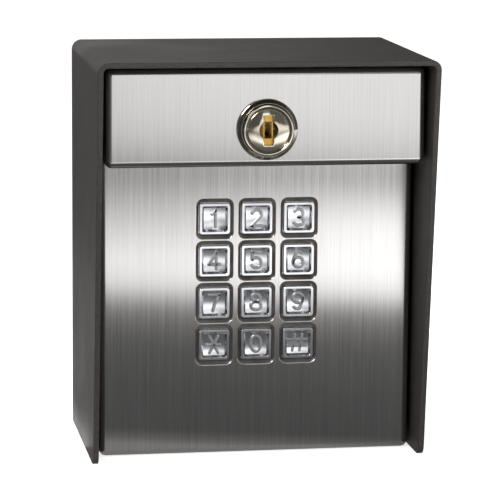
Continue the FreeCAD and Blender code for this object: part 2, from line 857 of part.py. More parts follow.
def lock_plug():
    """Turning plug: polished face, round key hole crossed by an upright slot, tail for the cam."""
    solid = turned("plug_round", "0", "lock_z", [
        ("cam_front - cam_thickness", "0"),
        ("cam_front - cam_thickness", "cam_hole_radius"),
        ("cam_front", "cam_hole_radius"),
        ("cam_front", "tail_radius"),
        ("lock_back", "tail_radius"),
        ("lock_back", "plug_core_radius"),
        ("plug_head_back", "plug_core_radius"),
        ("plug_head_back", "plug_face_radius"),
        ("lock_face - plug_edge", "plug_face_radius"),
        ("lock_face - plug_edge / 4", "plug_face_radius - plug_edge"),
        ("lock_face + plug_crown", "key_hole_radius + plug_flat"),
        ("lock_face + plug_crown", "0"),
    ])
    front = "lock_face + overcut"
    deep = "key_slot_length + overcut"
    hole = rod("key_hole", "key_hole_radius", "0", front, deep, "lock_z")
    slot = block("key_slot", "0", "key_slot_width", front, deep,
                 "lock_z - key_slot_height / 2", "key_slot_height")
    return cut("plug_slotted", solid, [hole, slot])


def plug_wafers():
    """Brass wafers standing in the plug's slot, each with a window for the key."""
    wafers = []
    for i in range(int(sheet.get("wafer_count"))):
        front = f"wafer_front - {i} * wafer_pitch"
        plate = block(f"wafer_{i}", "0", "key_slot_width", front, "wafer_thickness",
                      "lock_z - key_slot_height / 2", "key_slot_height")
        window = block(f"wafer_window_{i}", "0", "wafer_window_width", front + " + overcut",
                       "wafer_thickness + 2 * overcut", "lock_z - wafer_window_height / 2",
                       "wafer_window_height")
        wafers.append(cut(f"wafer_cut_{i}", plate, [window]))
    return group("wafer_set", wafers)


def lock_cam():
    """Flat arm on the plug's tail; it points left when open and up behind the strike when locked."""
    arm = block("cam_arm", "-cam_length / 2", "cam_length", "cam_front", "cam_thickness",
                "lock_z - cam_width / 2", "cam_width")
    hub = rod("cam_hub", "cam_width / 2", "0", "cam_front", "cam_thickness", "lock_z")
    solid = rounded("cam_round", fuse("cam_blank", [arm, hub]), "cam_corner",
                    lambda b: near(b.XMax, "-cam_length") and b.XLength < 1e-3 and b.ZLength < 1e-3)
    hole = rod("cam_hole", "cam_hole_radius", "0", "cam_front + overcut",
               "cam_thickness + 2 * overcut", "lock_z")
    return cut("cam_bored", solid, [hole])


def cam_screw():
    """Screw whose head clamps the cam to the tail."""
    return rod("cam_screw_head", "cam_screw_radius", "0", "cam_front - cam_thickness",
               "cam_screw_height", "lock_z")


# Keys ----------------------------------------------------------------------------

def key(name, column, row):
    """A square key: rim, dished face, a skirt that holds it behind the well, and a stem."""
    x, z = key_place(column, row)
    body = new_body(name + "_cap")
    cap = rounded_outline(body, name + "_plan", "0", "0", "0", "key_size", "key_size", "key_corner")
    pad(body, cap, "key_front - skirt_front", backwards=True)
    inner = "key_size - 2 * key_rim"
    floor = "key_size - 2 * key_rim - 2 * key_bevel"
    mouth = rounded_outline(body, name + "_dish", "0", "0", "0", inner, inner, "key_corner - key_rim / 2")
    bottom = rounded_outline(body, name + "_floor", "-key_dish", "0", "0", floor, floor,
                             "key_corner - key_rim / 2")
    hollow_loft(body, mouth, bottom)
    at(body, x, "key_front", z)
    skirt_size = "key_size + key_skirt"
    skirt = block(name + "_skirt", x, skirt_size, "skirt_front", "key_skirt_thickness",
                  f"({z}) - ({skirt_size}) / 2", skirt_size)
    stem = rod(name + "_stem", "key_stem_radius", x, "skirt_front - key_skirt_thickness",
               "key_stem_length", z)
    return fuse(name + "_solid", [body, skirt, stem])


# Keypad stack --------------------------------------------------------------------

def stud_places():
    places = []
    for side, level in ((-1, -1), (1, -1), (-1, 1), (1, 1)):
        places.append((f"{side} * stud_x", f"keypad_mid_z + {level} * stud_z"))
    return places


def stud_holes(name, front, length):
    return [rod(f"{name}_{i}", "stud_radius + stud_clearance", x, front, length, z)
            for i, (x, z) in enumerate(stud_places())]


def keypad_sheet(name, front, thickness):
    return block(name, "0", "keypad_width", front, thickness,
                 "keypad_mid_z - keypad_height / 2", "keypad_height")


def keypad_frame():
    """Frame whose twelve windows guide the keys' skirts."""
    front = "frame_front + overcut"
    deep = "frame_front - mat_front + 2 * overcut"
    cutters = stud_holes("frame_hole", front, deep)
    window = "key_size + key_skirt + 2 * key_clearance"
    for column, row in grid():
        x, z = key_place(column, row)
        cutters.append(block(f"window_{column + 1}_{row}", x, window, front, deep,
                             f"({z}) - ({window}) / 2", window))
    return cut("frame_cut", keypad_sheet("frame", "frame_front", "frame_front - mat_front"), cutters)


def key_mat():
    """Silicone sheet with a dome under each key, drawn at its pressed height."""
    domes = []
    for column, row in grid():
        x, z = key_place(column, row)
        domes.append(rod(f"dome_{column + 1}_{row}", "dome_radius", x,
                         "mat_front + dome_height", "dome_height + mat_thickness / 2", z))
    mat = fuse("mat_domed", [keypad_sheet("mat", "mat_front", "mat_thickness")] + domes)
    return cut("mat_cut", mat, stud_holes("mat_hole", "mat_front + 2 * overcut",
                                            "mat_thickness + 4 * overcut"))


def keypad_board():
    board = keypad_sheet("contacts", "board_front", "board_thickness")
    holes = stud_holes("contacts_hole", "board_front + overcut", "board_thickness + 2 * overcut")
    return cut("contacts_cut", board, holes)


def backing_plate():
    """Steel plate that clamps the stack and carries the control board."""
    plate = keypad_sheet("backing", "backing_front", "backing_thickness")
    holes = stud_holes("backing_hole", "backing_front + overcut", "backing_thickness + 2 * overcut")
    return cut("backing_cut", plate, holes)


def keypad_studs():
    """Four studs welded inside the panel."""
    length = "panel_back - backing_back + nut_thickness + stud_tail"
    return group("stud_set", [rod(f"stud_{i}", "stud_radius", x, "panel_back", length, z)
                              for i, (x, z) in enumerate(stud_places())])


def keypad_nuts():
    nuts = []
    for i, (x, z) in enumerate(stud_places()):
        nut = hexagon(f"nut_{i}", "nut_flats", x, "backing_back", "nut_thickness", z)
        hole = rod(f"nut_hole_{i}", "stud_radius", x, "backing_back + overcut",
                   "nut_thickness + 2 * overcut", z)
        nuts.append(cut(f"nut_bored_{i}", nut, [hole]))
    return group("nut_set", nuts)


# Control board -------------------------------------------------------------------

def standoff_places():
    places = []
    for side, level in ((-1, -1), (1, -1), (-1, 1), (1, 1)):
        x = f"{side} * (control_width / 2 - board_margin)"
        places.append((x, f"control_mid_z + {level} * (control_height / 2 - board_margin)"))
    return places


def board_standoffs():
    return group("standoff_set", [
        hexagon(f"standoff_{i}", "standoff_flats", x, "backing_back", "standoff_length", z)
        for i, (x, z) in enumerate(standoff_places())])


def control_board():
    return block("control", "0", "control_width", "control_front", "board_thickness",
                 "control_mid_z - control_height / 2", "control_height")


def board_screws():
    return group("board_screw_set", [
        rod(f"board_screw_{i}", "screw_head_radius", x, "control_back", "screw_head_height", z)
        for i, (x, z) in enumerate(standoff_places())])


def board_part(name, x, width, thickness, up, height):
    """A part on the control board's rear face, placed from the board's middle."""
    return block(name, x, width, "control_back", thickness,
                 f"control_mid_z + ({up}) - ({height}) / 2", height)


def terminal_block():
    """Screw terminals along the board's lower edge, with a wire mouth below each screw."""
    body = board_part("terminals", "0", "terminal_count * terminal_pitch", "terminal_depth",
                      "terminal_rise - control_height / 2", "terminal_height")
    cutters = []
    for i in range(int(sheet.get("terminal_count"))):
        x = f"({i} + 0.5 - terminal_count / 2) * terminal_pitch"
        cutters.append(rod(f"screw_well_{i}", "terminal_well_radius", x,
                           "control_back - terminal_depth + terminal_well_depth",
                           "terminal_well_depth + overcut", "terminal_z"))
        cutters.append(block(f"wire_mouth_{i}", x, "terminal_pitch - wire_mouth_rib",
                             "control_back - wire_mouth_offset", "wire_mouth_depth",
                             "terminal_z - terminal_height / 2 - overcut", "wire_mouth_height + overcut"))
    return cut("terminals_cut", body, cutters)


def relays():
    items = []
    for i, side in enumerate((-1, 1)):
        box = board_part(f"relay_{i}", f"{side} * relay_x", "relay_width", "relay_depth",
                         "control_height / 2 - relay_drop", "relay_height")
        items.append(rounded(f"relay_round_{i}", box, "relay_round", along_y))
    return group("relay_set", items)


def microcontroller():
    return board_part("chip", "chip_x", "chip_width", "chip_depth", "chip_up", "chip_height")


def sounder():
    """Round sounder with a small opening in its face."""
    z = "control_mid_z + sounder_up"
    can = rod("sounder_can", "sounder_radius", "sounder_x", "control_back", "sounder_depth", z)
    hole = rod("sounder_hole", "sounder_hole_radius", "sounder_x",
               "control_back - sounder_depth + sounder_hole_depth", "sounder_hole_depth + overcut", z)
    return cut("sounder_cut", can, [hole])


# Assembly ------------------------------------------------------------------------

NODES = {
    "hood_wrap": hood_wrap,
    "back_plate": back_plate,
    "cable_grommet": cable_grommet,
    "strike_bracket": strike_bracket,
    "stop_rail_left": lambda: stop_rail("left_stop", -1),
    "stop_rail_right": lambda: stop_rail("right_stop", 1),
    "seal_left": lambda: side_seal("left_seal", -1),
    "seal_right": lambda: side_seal("right_seal", 1),
    "hinge_rail": hinge_rail,
    "hinge_leaf_fixed": hinge_leaf_fixed,
    "hinge_pin": hinge_pin,
    "hinge_screws": hinge_screws,
    "earth_stud": earth_stud,
    "earth_nut": earth_nut,
    "faceplate": faceplate,
    "hinge_leaf_moving": hinge_leaf_moving,
    "lock_body": lock_body,
    "lock_bezel": lock_bezel,
    "lock_washer": lock_washer,
    "lock_nut": lock_nut,
    "lock_plug": lock_plug,
    "plug_wafers": plug_wafers,
    "lock_cam": lock_cam,
    "cam_screw": cam_screw,
    "keypad_frame": keypad_frame,
    "key_mat": key_mat,
    "keypad_board": keypad_board,
    "backing_plate": backing_plate,
    "keypad_studs": keypad_studs,
    "keypad_nuts": keypad_nuts,
    "board_standoffs": board_standoffs,
    "control_board": control_board,
    "board_screws": board_screws,
    "terminal_block": terminal_block,
    "relays": relays,
    "microcontroller": microcontroller,
    "sounder": sounder,
}
KEYS = ("1", "2", "3", "4", "5", "6", "7", "8", "9", "star", "0", "hash")


def build():
    """Every node's object, by the node's name."""
    parts = {}
    for node, make in NODES.items():
        parts[node] = make()
    for mark, (column, row) in zip(KEYS, grid()):
        parts[f"key_{mark}"] = key(f"key_{mark}", column, row)
    for node, item in parts.items():
        item.Label = node
    doc.recompute()
    return parts


def check(parts):
    faults = [f"{item.Name}: {item.State}" for item in doc.Objects
              if {"Invalid", "Error"} & set(item.State)]
    for node, item in parts.items():
        if item.Shape.isNull() or not item.Shape.isValid() or not item.Shape.Solids:
            faults.append(f"{node}: no valid solid")
    if faults:
        raise SystemExit("\n".join(faults))


parts = build()
check(parts)
for node, item in parts.items():
    item.Shape.exportStep(f"parts/{node}.step")
print(len(parts), "nodes written")
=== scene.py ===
import math
import bmesh
import bpy
import numpy as np
from mathutils import Matrix, Vector


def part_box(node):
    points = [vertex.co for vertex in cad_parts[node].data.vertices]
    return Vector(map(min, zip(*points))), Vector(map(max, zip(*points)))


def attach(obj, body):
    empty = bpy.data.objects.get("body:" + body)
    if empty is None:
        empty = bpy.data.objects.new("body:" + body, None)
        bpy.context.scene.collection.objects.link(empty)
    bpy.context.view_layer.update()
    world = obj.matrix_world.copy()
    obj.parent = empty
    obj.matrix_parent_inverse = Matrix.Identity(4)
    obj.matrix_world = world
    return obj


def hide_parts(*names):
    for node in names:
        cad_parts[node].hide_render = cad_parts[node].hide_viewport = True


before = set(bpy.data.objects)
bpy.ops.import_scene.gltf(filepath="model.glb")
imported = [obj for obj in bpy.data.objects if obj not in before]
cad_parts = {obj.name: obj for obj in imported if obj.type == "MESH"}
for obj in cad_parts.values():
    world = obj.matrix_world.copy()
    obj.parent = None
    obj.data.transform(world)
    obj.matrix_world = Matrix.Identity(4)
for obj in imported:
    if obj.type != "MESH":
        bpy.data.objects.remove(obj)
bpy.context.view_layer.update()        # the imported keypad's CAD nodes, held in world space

mm = 0.001


def span(node):
    # lowest and highest corner of a CAD node, as arrays
    low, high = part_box(node)
    return np.array(low), np.array(high)


# places that everything else is set out from
hoodLow, hoodHigh = span("hood_wrap")
plateLow, plateHigh = span("faceplate")
keyOneLow, keyOneHigh = span("key_1")
keyTwoLow = span("key_2")[0]
bezelLow, bezelHigh = span("lock_bezel")
lockBodyLow, lockBodyHigh = span("lock_body")
plugLow, plugHigh = span("lock_plug")
keyPitch = (keyTwoLow - keyOneLow)[0]
lockX = 0.0
lockZ = (bezelLow[2] + bezelHigh[2]) / 2
headerFront = plateLow[1]
print("frame read: hood %.0f x %.0f x %.0f mm" % tuple((hoodHigh - hoodLow) / mm))


# mesh helpers

def meshPiece(name, points, faces, material, smooth=True):
    # a new object from a list of points and a list of faces, left at the origin
    mesh = bpy.data.meshes.new(name)
    mesh.from_pydata([tuple(p) for p in np.asarray(points, float)], [], faces)
    mesh.validate()
    piece = bpy.data.objects.new(name, mesh)
    bpy.context.scene.collection.objects.link(piece)
    mesh.polygons.foreach_set("use_smooth", np.full(len(mesh.polygons), smooth))
    mesh.materials.append(material)
    return piece


def gridFaces(rows, columns, closeRows=False, closeColumns=False, first=0):
    # quads over a rows x columns grid of points; a closed direction wraps round
    rowCount = rows if closeRows else rows - 1
    columnCount = columns if closeColumns else columns - 1
    r, c = np.meshgrid(np.arange(rowCount), np.arange(columnCount), indexing="ij")
    r2, c2 = (r + 1) % rows, (c + 1) % columns
    quads = np.stack([r * columns + c, r * columns + c2, r2 * columns + c2, r2 * columns + c], -1)
    return (quads.reshape(-1, 4) + first).tolist()


def tidy(piece, distance=1e-6):
    # doubles merged and normals turned outward
    work = bmesh.new()
    work.from_mesh(piece.data)
    bmesh.ops.remove_doubles(work, verts=work.verts, dist=distance)
    bmesh.ops.dissolve_degenerate(work, dist=distance / 2, edges=work.edges)
    bmesh.ops.recalc_face_normals(work, faces=work.faces)
    work.to_mesh(piece.data)
    work.free()
    piece.data.update()
    return piece


def foldedLine(corners, radii, steps=8, guard=0.12 * mm):
    # a polyline whose corners are turned into arcs of the given radii (0 leaves a point),
    # with one more point a guard's length either side of each arc, so flats shade flat;
    # returns the points and the unit tangent at each
    corners = [np.array(c, float) for c in corners]
    ways = [(b - a) / np.linalg.norm(b - a) for a, b in zip(corners, corners[1:])]
    points, tangents = [corners[0]], [ways[0]]
    for corner, come, go, radius in zip(corners[1:], ways, ways[1:], radii[1:]):
        turn = math.acos(np.clip(come @ go, -1, 1))
        if radius <= 0 or turn < 1e-4:
            points.append(corner)
            tangents.append((come + go) / np.linalg.norm(come + go))
            continue
        reach = radius * math.tan(turn / 2)
        t = np.linspace(0, 1, steps + 1)[:, None]
        along = (np.sin((1 - t) * turn) * come + np.sin(t * turn) * go) / math.sin(turn)
        inward = (go - come * (come @ go)) / math.sin(turn)
        centre = corner - come * reach + inward * radius
        outward = (np.sin((1 - t) * turn) * -inward
                   + np.sin(t * turn) * (come - go * (come @ go)) / math.sin(turn)) / math.sin(turn)
        points.append(corner - come * (reach + guard))
        points.extend(centre + outward * radius)
        points.append(corner + go * (reach + guard))
        tangents.extend([come, *along, go])
    points.append(corners[-1])
    tangents.append(ways[-1])
    return np.array(points), np.array(tangents)


def sideways(tangents):
    # each tangent turned a quarter turn anticlockwise
    return np.stack([-tangents[:, 1], tangents[:, 0]], -1)


def lathe(name, section, material, centreX, centreZ, steps=96):
    # section points (y, radius) turned about a line along Y:
    # x = centreX + r cos a, z = centreZ + r sin a
    section = np.asarray(section, float)
    angle = np.linspace(0, 2 * math.pi, steps, endpoint=False)
    y = np.repeat(section[:, :1], steps, 1)
    x = centreX + section[:, 1:] * np.cos(angle)
    z = centreZ + section[:, 1:] * np.sin(angle)
    points = np.stack([x, y, z], -1).reshape(-1, 3)
    faces = gridFaces(len(section), steps, closeColumns=True)
    return creased(tidy(meshPiece(name, points, faces, material)), 32)


def roundedRay(angle, halfX, halfZ, corner):
    # distance from the middle to the edge of a round-cornered rectangle along each angle:
    # the side it meets first, or the corner's circle where the ray passes the straight part
    c, s = np.abs(np.cos(angle)), np.abs(np.sin(angle))
    with np.errstate(divide="ignore"):
        side, top = halfX / np.maximum(c, 1e-12), halfZ / np.maximum(s, 1e-12)
    straight = np.minimum(side, top)
    inX, inZ = halfX - corner, halfZ - corner
    middle = inX * c + inZ * s
    root = np.sqrt(np.maximum(middle ** 2 - (inX ** 2 + inZ ** 2 - corner ** 2), 0))
    inCorner = (straight * c > inX) & (straight * s > inZ)
    return np.where(inCorner, middle + root, straight)


def loopRound(x, z):
    # the points of a grid's outer edge, anticlockwise from its lower left corner
    low = np.stack([x[:-1], np.full(len(x) - 1, z[0])], -1)
    right = np.stack([np.full(len(z) - 1, x[-1]), z[:-1]], -1)
    high = np.stack([x[:0:-1], np.full(len(x) - 1, z[-1])], -1)
    left = np.stack([np.full(len(z) - 1, x[0]), z[:0:-1]], -1)
    return np.concatenate([low, right, high, left])


def ringPatch(edge, rings, centre, frontY):
    # a face that runs from its outer edge inward through rings of (radius by angle, depth):
    # point = centre + radius(angle) (cos, sin), y = frontY + depth
    angle = np.arctan2(edge[:, 1], edge[:, 0])
    layers = [np.column_stack([centre[0] + edge[:, 0], np.full(len(edge), frontY), centre[1] + edge[:, 1]])]
    for radiusAt, depth in rings:
        r = radiusAt(angle)
        layers.append(np.column_stack([centre[0] + r * np.cos(angle), np.full(len(edge), frontY + depth),
                                       centre[1] + r * np.sin(angle)]))
    return np.concatenate(layers), gridFaces(len(layers), len(edge), closeColumns=True)


def creased(piece, degrees):
    # smooth shading everywhere except over edges sharper than this
    piece.data.polygons.foreach_set("use_smooth", np.full(len(piece.data.polygons), True))
    piece.data.set_sharp_from_angle(angle=math.radians(degrees))
    return piece


def joinParts(parts):
    # several (points, faces) lists as one
    points, faces, first = [], [], 0
    for p, f in parts:
        points.append(p)
        faces.extend([[i + first for i in face] for face in f])
        first += len(p)
    return np.concatenate(points), faces


# materials

def linear(hexColour):
    # sRGB hex to linear, opaque
    parts = [int(hexColour[i:i + 2], 16) / 255 for i in (1, 3, 5)]
    return (*(v / 12.92 if v <= 0.04045 else ((v + 0.055) / 1.055) ** 2.4 for v in parts), 1.0)


def add(tree, kind, inputs=None, stops=(), **properties):
    # one node: its properties, its inputs (a socket to link or a value) and its colour stops
    node = tree.nodes.new(kind)
    for key, value in properties.items():
        setattr(node, key, value)
    for key, value in (inputs or {}).items():
        if isinstance(value, bpy.types.NodeSocket):
            tree.links.new(value, node.inputs[key])
        else:
            node.inputs[key].default_value = value
    if stops:
        elements = node.color_ramp.elements
        while len(elements) < len(stops):
            elements.new(0.5)
        for element, (place, colour) in zip(elements, stops):
            element.position, element.color = place, colour
    return node


def newMaterial(name, **settings):
    # a Principled material; returns it, its tree, its shader and its Object coordinates
    material = bpy.data.materials.new(name)
    material.use_nodes = True
    tree = material.node_tree
    shader = tree.nodes["Principled BSDF"]
    for key, value in settings.items():
        shader.inputs[key.replace("_", " ")].default_value = value
    coords = add(tree, "ShaderNodeTexCoord").outputs["Object"]
    return material, tree, shader, coords


def feed(tree, shader, sources):
    # links each named shader input to the first output of its source node
    for name, node in sources.items():
        tree.links.new(node.outputs[0], shader.inputs[name])


powderCoatLook = {"dark": "#272423", "light": "#38332f", "grain": 0.55 * mm, "cloud": 22 * mm,
                  "roughness": (0.40, 0.56), "peel": 0.12 * mm}


def makePowderCoat():
    # polyester powder coat on steel, baked to a fine orange peel: a near-black satin with a
    # broken sheen and pin-head speckle
    look = powderCoatLook
    material, tree, shader, coords = newMaterial("blackPowderCoat", IOR=1.5)
    grain = add(tree, "ShaderNodeTexNoise", {"Vector": coords, "Scale": 0.5 / look["grain"],
                                             "Detail": 3.0, "Roughness": 0.6}).outputs["Fac"]
    cloud = add(tree, "ShaderNodeTexNoise",
                {"Vector": coords, "Scale": 0.5 / look["cloud"], "Detail": 2.0}).outputs["Fac"]
    colour = add(tree, "ShaderNodeValToRGB", {"Fac": grain},
                 [(0.35, linear(look["dark"])), (0.65, linear(look["light"]))])
    mixed = add(tree, "ShaderNodeMath", {0: grain, 1: cloud}, operation="ADD")
    sheen = add(tree, "ShaderNodeMapRange", {"Value": mixed.outputs[0], "From Min": 0.7, "From Max": 1.3,
                                             "To Min": look["roughness"][0], "To Max": look["roughness"][1]})
    peel = add(tree, "ShaderNodeBump", {"Height": grain, "Strength": 0.35, "Distance": look["peel"]})
    feed(tree, shader, {"Base Color": colour, "Roughness": sheen, "Normal": peel})
    return material


brushedLook = {"light": "#cbcac9", "dark": "#bfbebd", "line": 0.36 * mm, "run": 60, "roughness": (0.11, 0.15),
               "scratch": 0.05 * mm}


def makeBrushedStainless():
    # stainless sheet drawn over an abrasive belt: fine upright lines that smear a reflection
    # sideways and keep its height; the lines are drawn wider than real so that they show
    look = brushedLook
    material, tree, shader, coords = newMaterial("brushedStainless", Metallic=1.0, Anisotropic=0.85)
    drawn = add(tree, "ShaderNodeMapping", {"Vector": coords, "Scale": (1, 1, 1 / look["run"])})
    fine = add(tree, "ShaderNodeTexNoise", {"Vector": drawn.outputs["Vector"], "Scale": 0.5 / look["line"],
                                            "Detail": 2.0, "Roughness": 0.6}).outputs["Fac"]
    colour = add(tree, "ShaderNodeValToRGB", {"Fac": fine},
                 [(0.3, linear(look["dark"])), (0.7, linear(look["light"]))])
    sheen = add(tree, "ShaderNodeMapRange", {"Value": fine, "From Min": 0.3, "From Max": 0.7,
                                             "To Min": look["roughness"][0], "To Max": look["roughness"][1]})
    tangent = add(tree, "ShaderNodeTangent", direction_type="UV_MAP", uv_map="grain")
    scratch = add(tree, "ShaderNodeBump", {"Height": fine, "Strength": 0.05, "Distance": look["scratch"]})
    feed(tree, shader, {"Base Color": colour, "Roughness": sheen, "Tangent": tangent, "Normal": scratch})
    return material


def makePlated(name, light, dark, roughness, patch=6 * mm, swing=0.04):
    # bright electroplate: clear reflections, a little softer where it has been handled
    material, tree, shader, coords = newMaterial(name, Metallic=1.0)
    cloud = add(tree, "ShaderNodeTexNoise",
                {"Vector": coords, "Scale": 0.5 / patch, "Detail": 3.0, "Roughness": 0.6}).outputs["Fac"]
    colour = add(tree, "ShaderNodeValToRGB", {"Fac": cloud}, [(0.35, linear(dark)), (0.65, linear(light))])
    sheen = add(tree, "ShaderNodeMapRange", {"Value": cloud, "From Min": 0.3, "From Max": 0.7,
                                             "To Min": roughness, "To Max": roughness + swing})
    feed(tree, shader, {"Base Color": colour, "Roughness": sheen})
    return material


def makeMoulded(name, colour, shade, roughness, grain=0.4 * mm, ior=1.5):
    # injection-moulded or rubber part: even colour with a fine spark-eroded texture
    material, tree, shader, coords = newMaterial(name, IOR=ior)
    fine = add(tree, "ShaderNodeTexNoise",
               {"Vector": coords, "Scale": 0.5 / grain, "Detail": 2.0}).outputs["Fac"]
    tint = add(tree, "ShaderNodeValToRGB", {"Fac": fine}, [(0.35, linear(shade)), (0.65, linear(colour))])
    sheen = add(tree, "ShaderNodeMapRange", {"Value": fine, "From Min": 0.3, "From Max": 0.7,
                                             "To Min": roughness - 0.05, "To Max": roughness + 0.08})
    texture = add(tree, "ShaderNodeBump", {"Height": fine, "Strength": 0.15, "Distance": 0.05 * mm})
    feed(tree, shader, {"Base Color": tint, "Roughness": sheen, "Normal": texture})
    return material


boardLook = {"mask": "#14522b", "maskToo": "#155a2f", "track": "#2f7d46", "pitch": 14 * mm, "cloud": 3 * mm}


def makeBoard():
    # glass-epoxy circuit board under green solder mask, with the paler lines of its tracks
    look = boardLook
    material, tree, shader, coords = newMaterial("greenSolderMask", IOR=1.55, Coat_Weight=0.4)
    parts = add(tree, "ShaderNodeSeparateXYZ", {"Vector": coords})
    flat = add(tree, "ShaderNodeCombineXYZ", {"X": parts.outputs["X"], "Y": parts.outputs["Z"]})
    tracks = add(tree, "ShaderNodeTexBrick",
                 {"Vector": flat.outputs["Vector"], "Scale": 1 / look["pitch"], "Mortar Size": 0.035,
                  "Mortar Smooth": 0.4, "Brick Width": 0.9, "Row Height": 0.28,
                  "Color1": linear(look["mask"]), "Color2": linear(look["maskToo"]),
                  "Mortar": linear(look["track"])})
    fine = add(tree, "ShaderNodeTexNoise", {"Vector": coords, "Scale": 0.5 / look["cloud"], "Detail": 2.0})
    sheen = add(tree, "ShaderNodeMapRange", {"Value": fine.outputs["Fac"], "From Min": 0.3, "From Max": 0.7,
                                             "To Min": 0.25, "To Max": 0.38})
    feed(tree, shader, {"Base Color": tracks, "Roughness": sheen})
    return material


powderCoat = makePowderCoat()
brushed = makeBrushedStainless()
# stainless of the well walls with painted shade: darker and browner than the sheet so the recesses read as
# shaded, rougher, and with no grain
wellShadeSteel = makePlated("wellShadePaintedStainless", "#bab5ae", "#a19c95", 0.28, 3 * mm, 0.06)
# nickel over polished brass: clear, slightly warm reflections
nickel = makePlated("polishedNickel", "#d8d2c4", "#c9c2b2", 0.07)
# chromed die casting: clear and slightly blue
keyChrome = makePlated("keyChrome", "#e2e4e8", "#d2d4d9", 0.10, 4 * mm)
# the same chrome over unpolished casting: the characters look matt grey beside the dish
castChrome = makePlated("castChrome", "#c8c8ca", "#b4b4b7", 0.36, 1.2 * mm, 0.1)
# turned and stamped brass, bare: yellow with soft highlights
brass = makePlated("freeCuttingBrass", "#dcb765", "#c39a48", 0.24, 2 * mm, 0.1)
# bright zinc plate: pale grey and cloudy
zinc = makePlated("zincPlatedSteel", "#c4c4bd", "#aaa99f", 0.30, 5 * mm, 0.12)
# rolled stainless as it leaves the mill: grey with a dull sheen
millSteel = makePlated("millFinishStainless", "#b9b8b5", "#a3a29f", 0.34, 8 * mm, 0.08)
# moulded rubber: black and dull
blackRubber = makeMoulded("nitrileRubber", "#1c1b1b", "#131212", 0.62)
# cut foam strip: black, open grain and no sheen
foam = makeMoulded("closedCellFoam", "#232222", "#0f0f0f", 0.9, 0.9 * mm)
# moulded silicone: milky grey and soft-looking
silicone = makeMoulded("greySilicone", "#9a9c9d", "#8c8e8f", 0.5, 1.2 * mm, 1.41)
# moulded nylon and polycarbonate: even colour, satin to semi-gloss
blackPlastic = makeMoulded("blackNylon", "#1d1d1f", "#141415", 0.45)
greenPlastic = makeMoulded("greenNylon", "#2f8f49", "#277b3e", 0.4)
bluePlastic = makeMoulded("bluePolycarbonate", "#24508f", "#1e4580", 0.28)
boardMask = makeBoard()
print("materials made")


# the hood: one sheet bent twice, its front edges raked

hood = {
    "sheet": 2.5 * mm,
    "bend": 4.5 * mm,            # outer radius of the two top bends
    "foot": 5 * mm,              # radius of the lower front corners
    "frontAtFloor": -34 * mm,    # y of the front edge at the floor; at the roof it's the hood's own front
    "edge": 0.35 * mm,           # broken edge of the sheet
    "floorRun": 30 * mm,         # straight run of the lower edge that the foot's arc starts from
    "stations": (12 * mm, 160 * mm, 8),    # lowest and highest section up a side, and how many
}


def buildHood():
    # U-shaped line in x and z, with the sheet's outer and inner face a wall apart along its
    # normal; each station is a loop in y whose front follows the rake
    halfWidth, top = hoodHigh[0], hoodHigh[2]
    rake = (hoodLow[1] - hood["frontAtFloor"]) / top
    foot = foldedLine([(hood["frontAtFloor"] + hood["floorRun"], 0), (hood["frontAtFloor"], 0),
                       (hoodLow[1], top)], [0, hood["foot"], 0], 10)[0]
    foot = foot[2:-2]                                # the arc's own points: y and z
    rise = [(halfWidth, z) for z in (*foot[:, 1], *np.linspace(*hood["stations"]))]
    left = [(-x, z) for x, z in rise]
    corners = left + [(-halfWidth, top), (halfWidth, top)] + rise[::-1]
    radii = [0] * len(rise) + [hood["bend"]] * 2 + [0] * len(rise)
    line, ways = foldedLine(corners, radii, 10)
    inner = line - sideways(ways) * hood["sheet"]
    t, r = hood["sheet"], hood["edge"]
    bow = np.linspace(0, math.pi / 2, 4)
    deep = np.concatenate([[0, 0], r - r * np.cos(bow), t - r + r * np.sin(bow), [t, t]]) / t
    back = np.concatenate([[0, 3 * r], r - r * np.sin(bow), r - r * np.cos(bow), [3 * r, 0]])
    atBack = np.zeros(len(deep), bool)
    atBack[[0, -1]] = True
    xz = line[:, None] + (inner - line)[:, None] * deep[None, :, None]
    z = xz[..., 1]
    front = hood["frontAtFloor"] + rake * z
    front = np.where(z < foot[-1, 1], np.interp(z, foot[:, 1], foot[:, 0]), front)
    y = np.where(atBack[None], hoodHigh[1], front + back[None])
    points = np.stack([xz[..., 0], y, z], -1)
    rows, columns = points.shape[:2]
    faces = gridFaces(rows, columns, closeColumns=True)
    faces += [list(range(columns)), [(rows - 1) * columns + i for i in range(columns)]]
    return creased(tidy(meshPiece("hoodWrap", points.reshape(-1, 3), faces, powderCoat)), 32)


hoodWrap = buildHood()
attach(hoodWrap, "hood")
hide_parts("hood_wrap")
print("hood made")


# the faceplate: header, recessed panel with twelve wells, returns

plate = {
    "wall": 1.5 * mm,
    "bend": 2.8 * mm,
    "hem": 5.7 * mm,             # depth of the bottom flange
    "ledge": 134 * mm,           # height of the header's underside
    "panelFront": -20.5 * mm,
    "topBack": -25 * mm,         # how far back the roof flange goes
    "sideBack": -4.5 * mm,
    "relief": 11 * mm,           # slanted lower corner of each side return
    "slope": 14 * mm,
    "wellMouth": (17.0 * mm, 18.3 * mm, 3.2 * mm),   # width, height and corner at the panel
    "wellThroat": (14.3 * mm, 14.3 * mm, 1.4 * mm),  # the same round the key
    "wellDepth": 1.6 * mm,
    "wellLip": 1.4 * mm,
    "wellShadeFrom": 0.1 * mm,        # how deep the sheet's own colour runs into each mouth before the well wall's painted shade starts
    "wellReach": 1.7 * mm,       # how far the wall leans in from mouth to throat
    "wellBlend": 0.28 * mm,      # flat taken up round the mouth
    "wellStart": 0.05 * mm,      # how far inside the mouth's line the wall starts
    "wellRounds": (0.5 * mm, 0.45 * mm),    # radius over the mouth and at the throat
    "cellSteps": 16,
    "lockHole": 11.05 * mm,
    "lockPatch": (14.6 * mm, 13.4 * mm, 23),    # half width, half height and rows round the lock hole
    "bendGuard": 0.15 * mm,      # keeps the flats flat beside the end bends
    "crease": 34,                # degrees
}
keyLeft = (keyOneLow + keyOneHigh)[0] / 2
keyRows = [(span(n)[0] + span(n)[1])[2] / 2 for n in ("key_1", "key_4", "key_7", "key_0")]
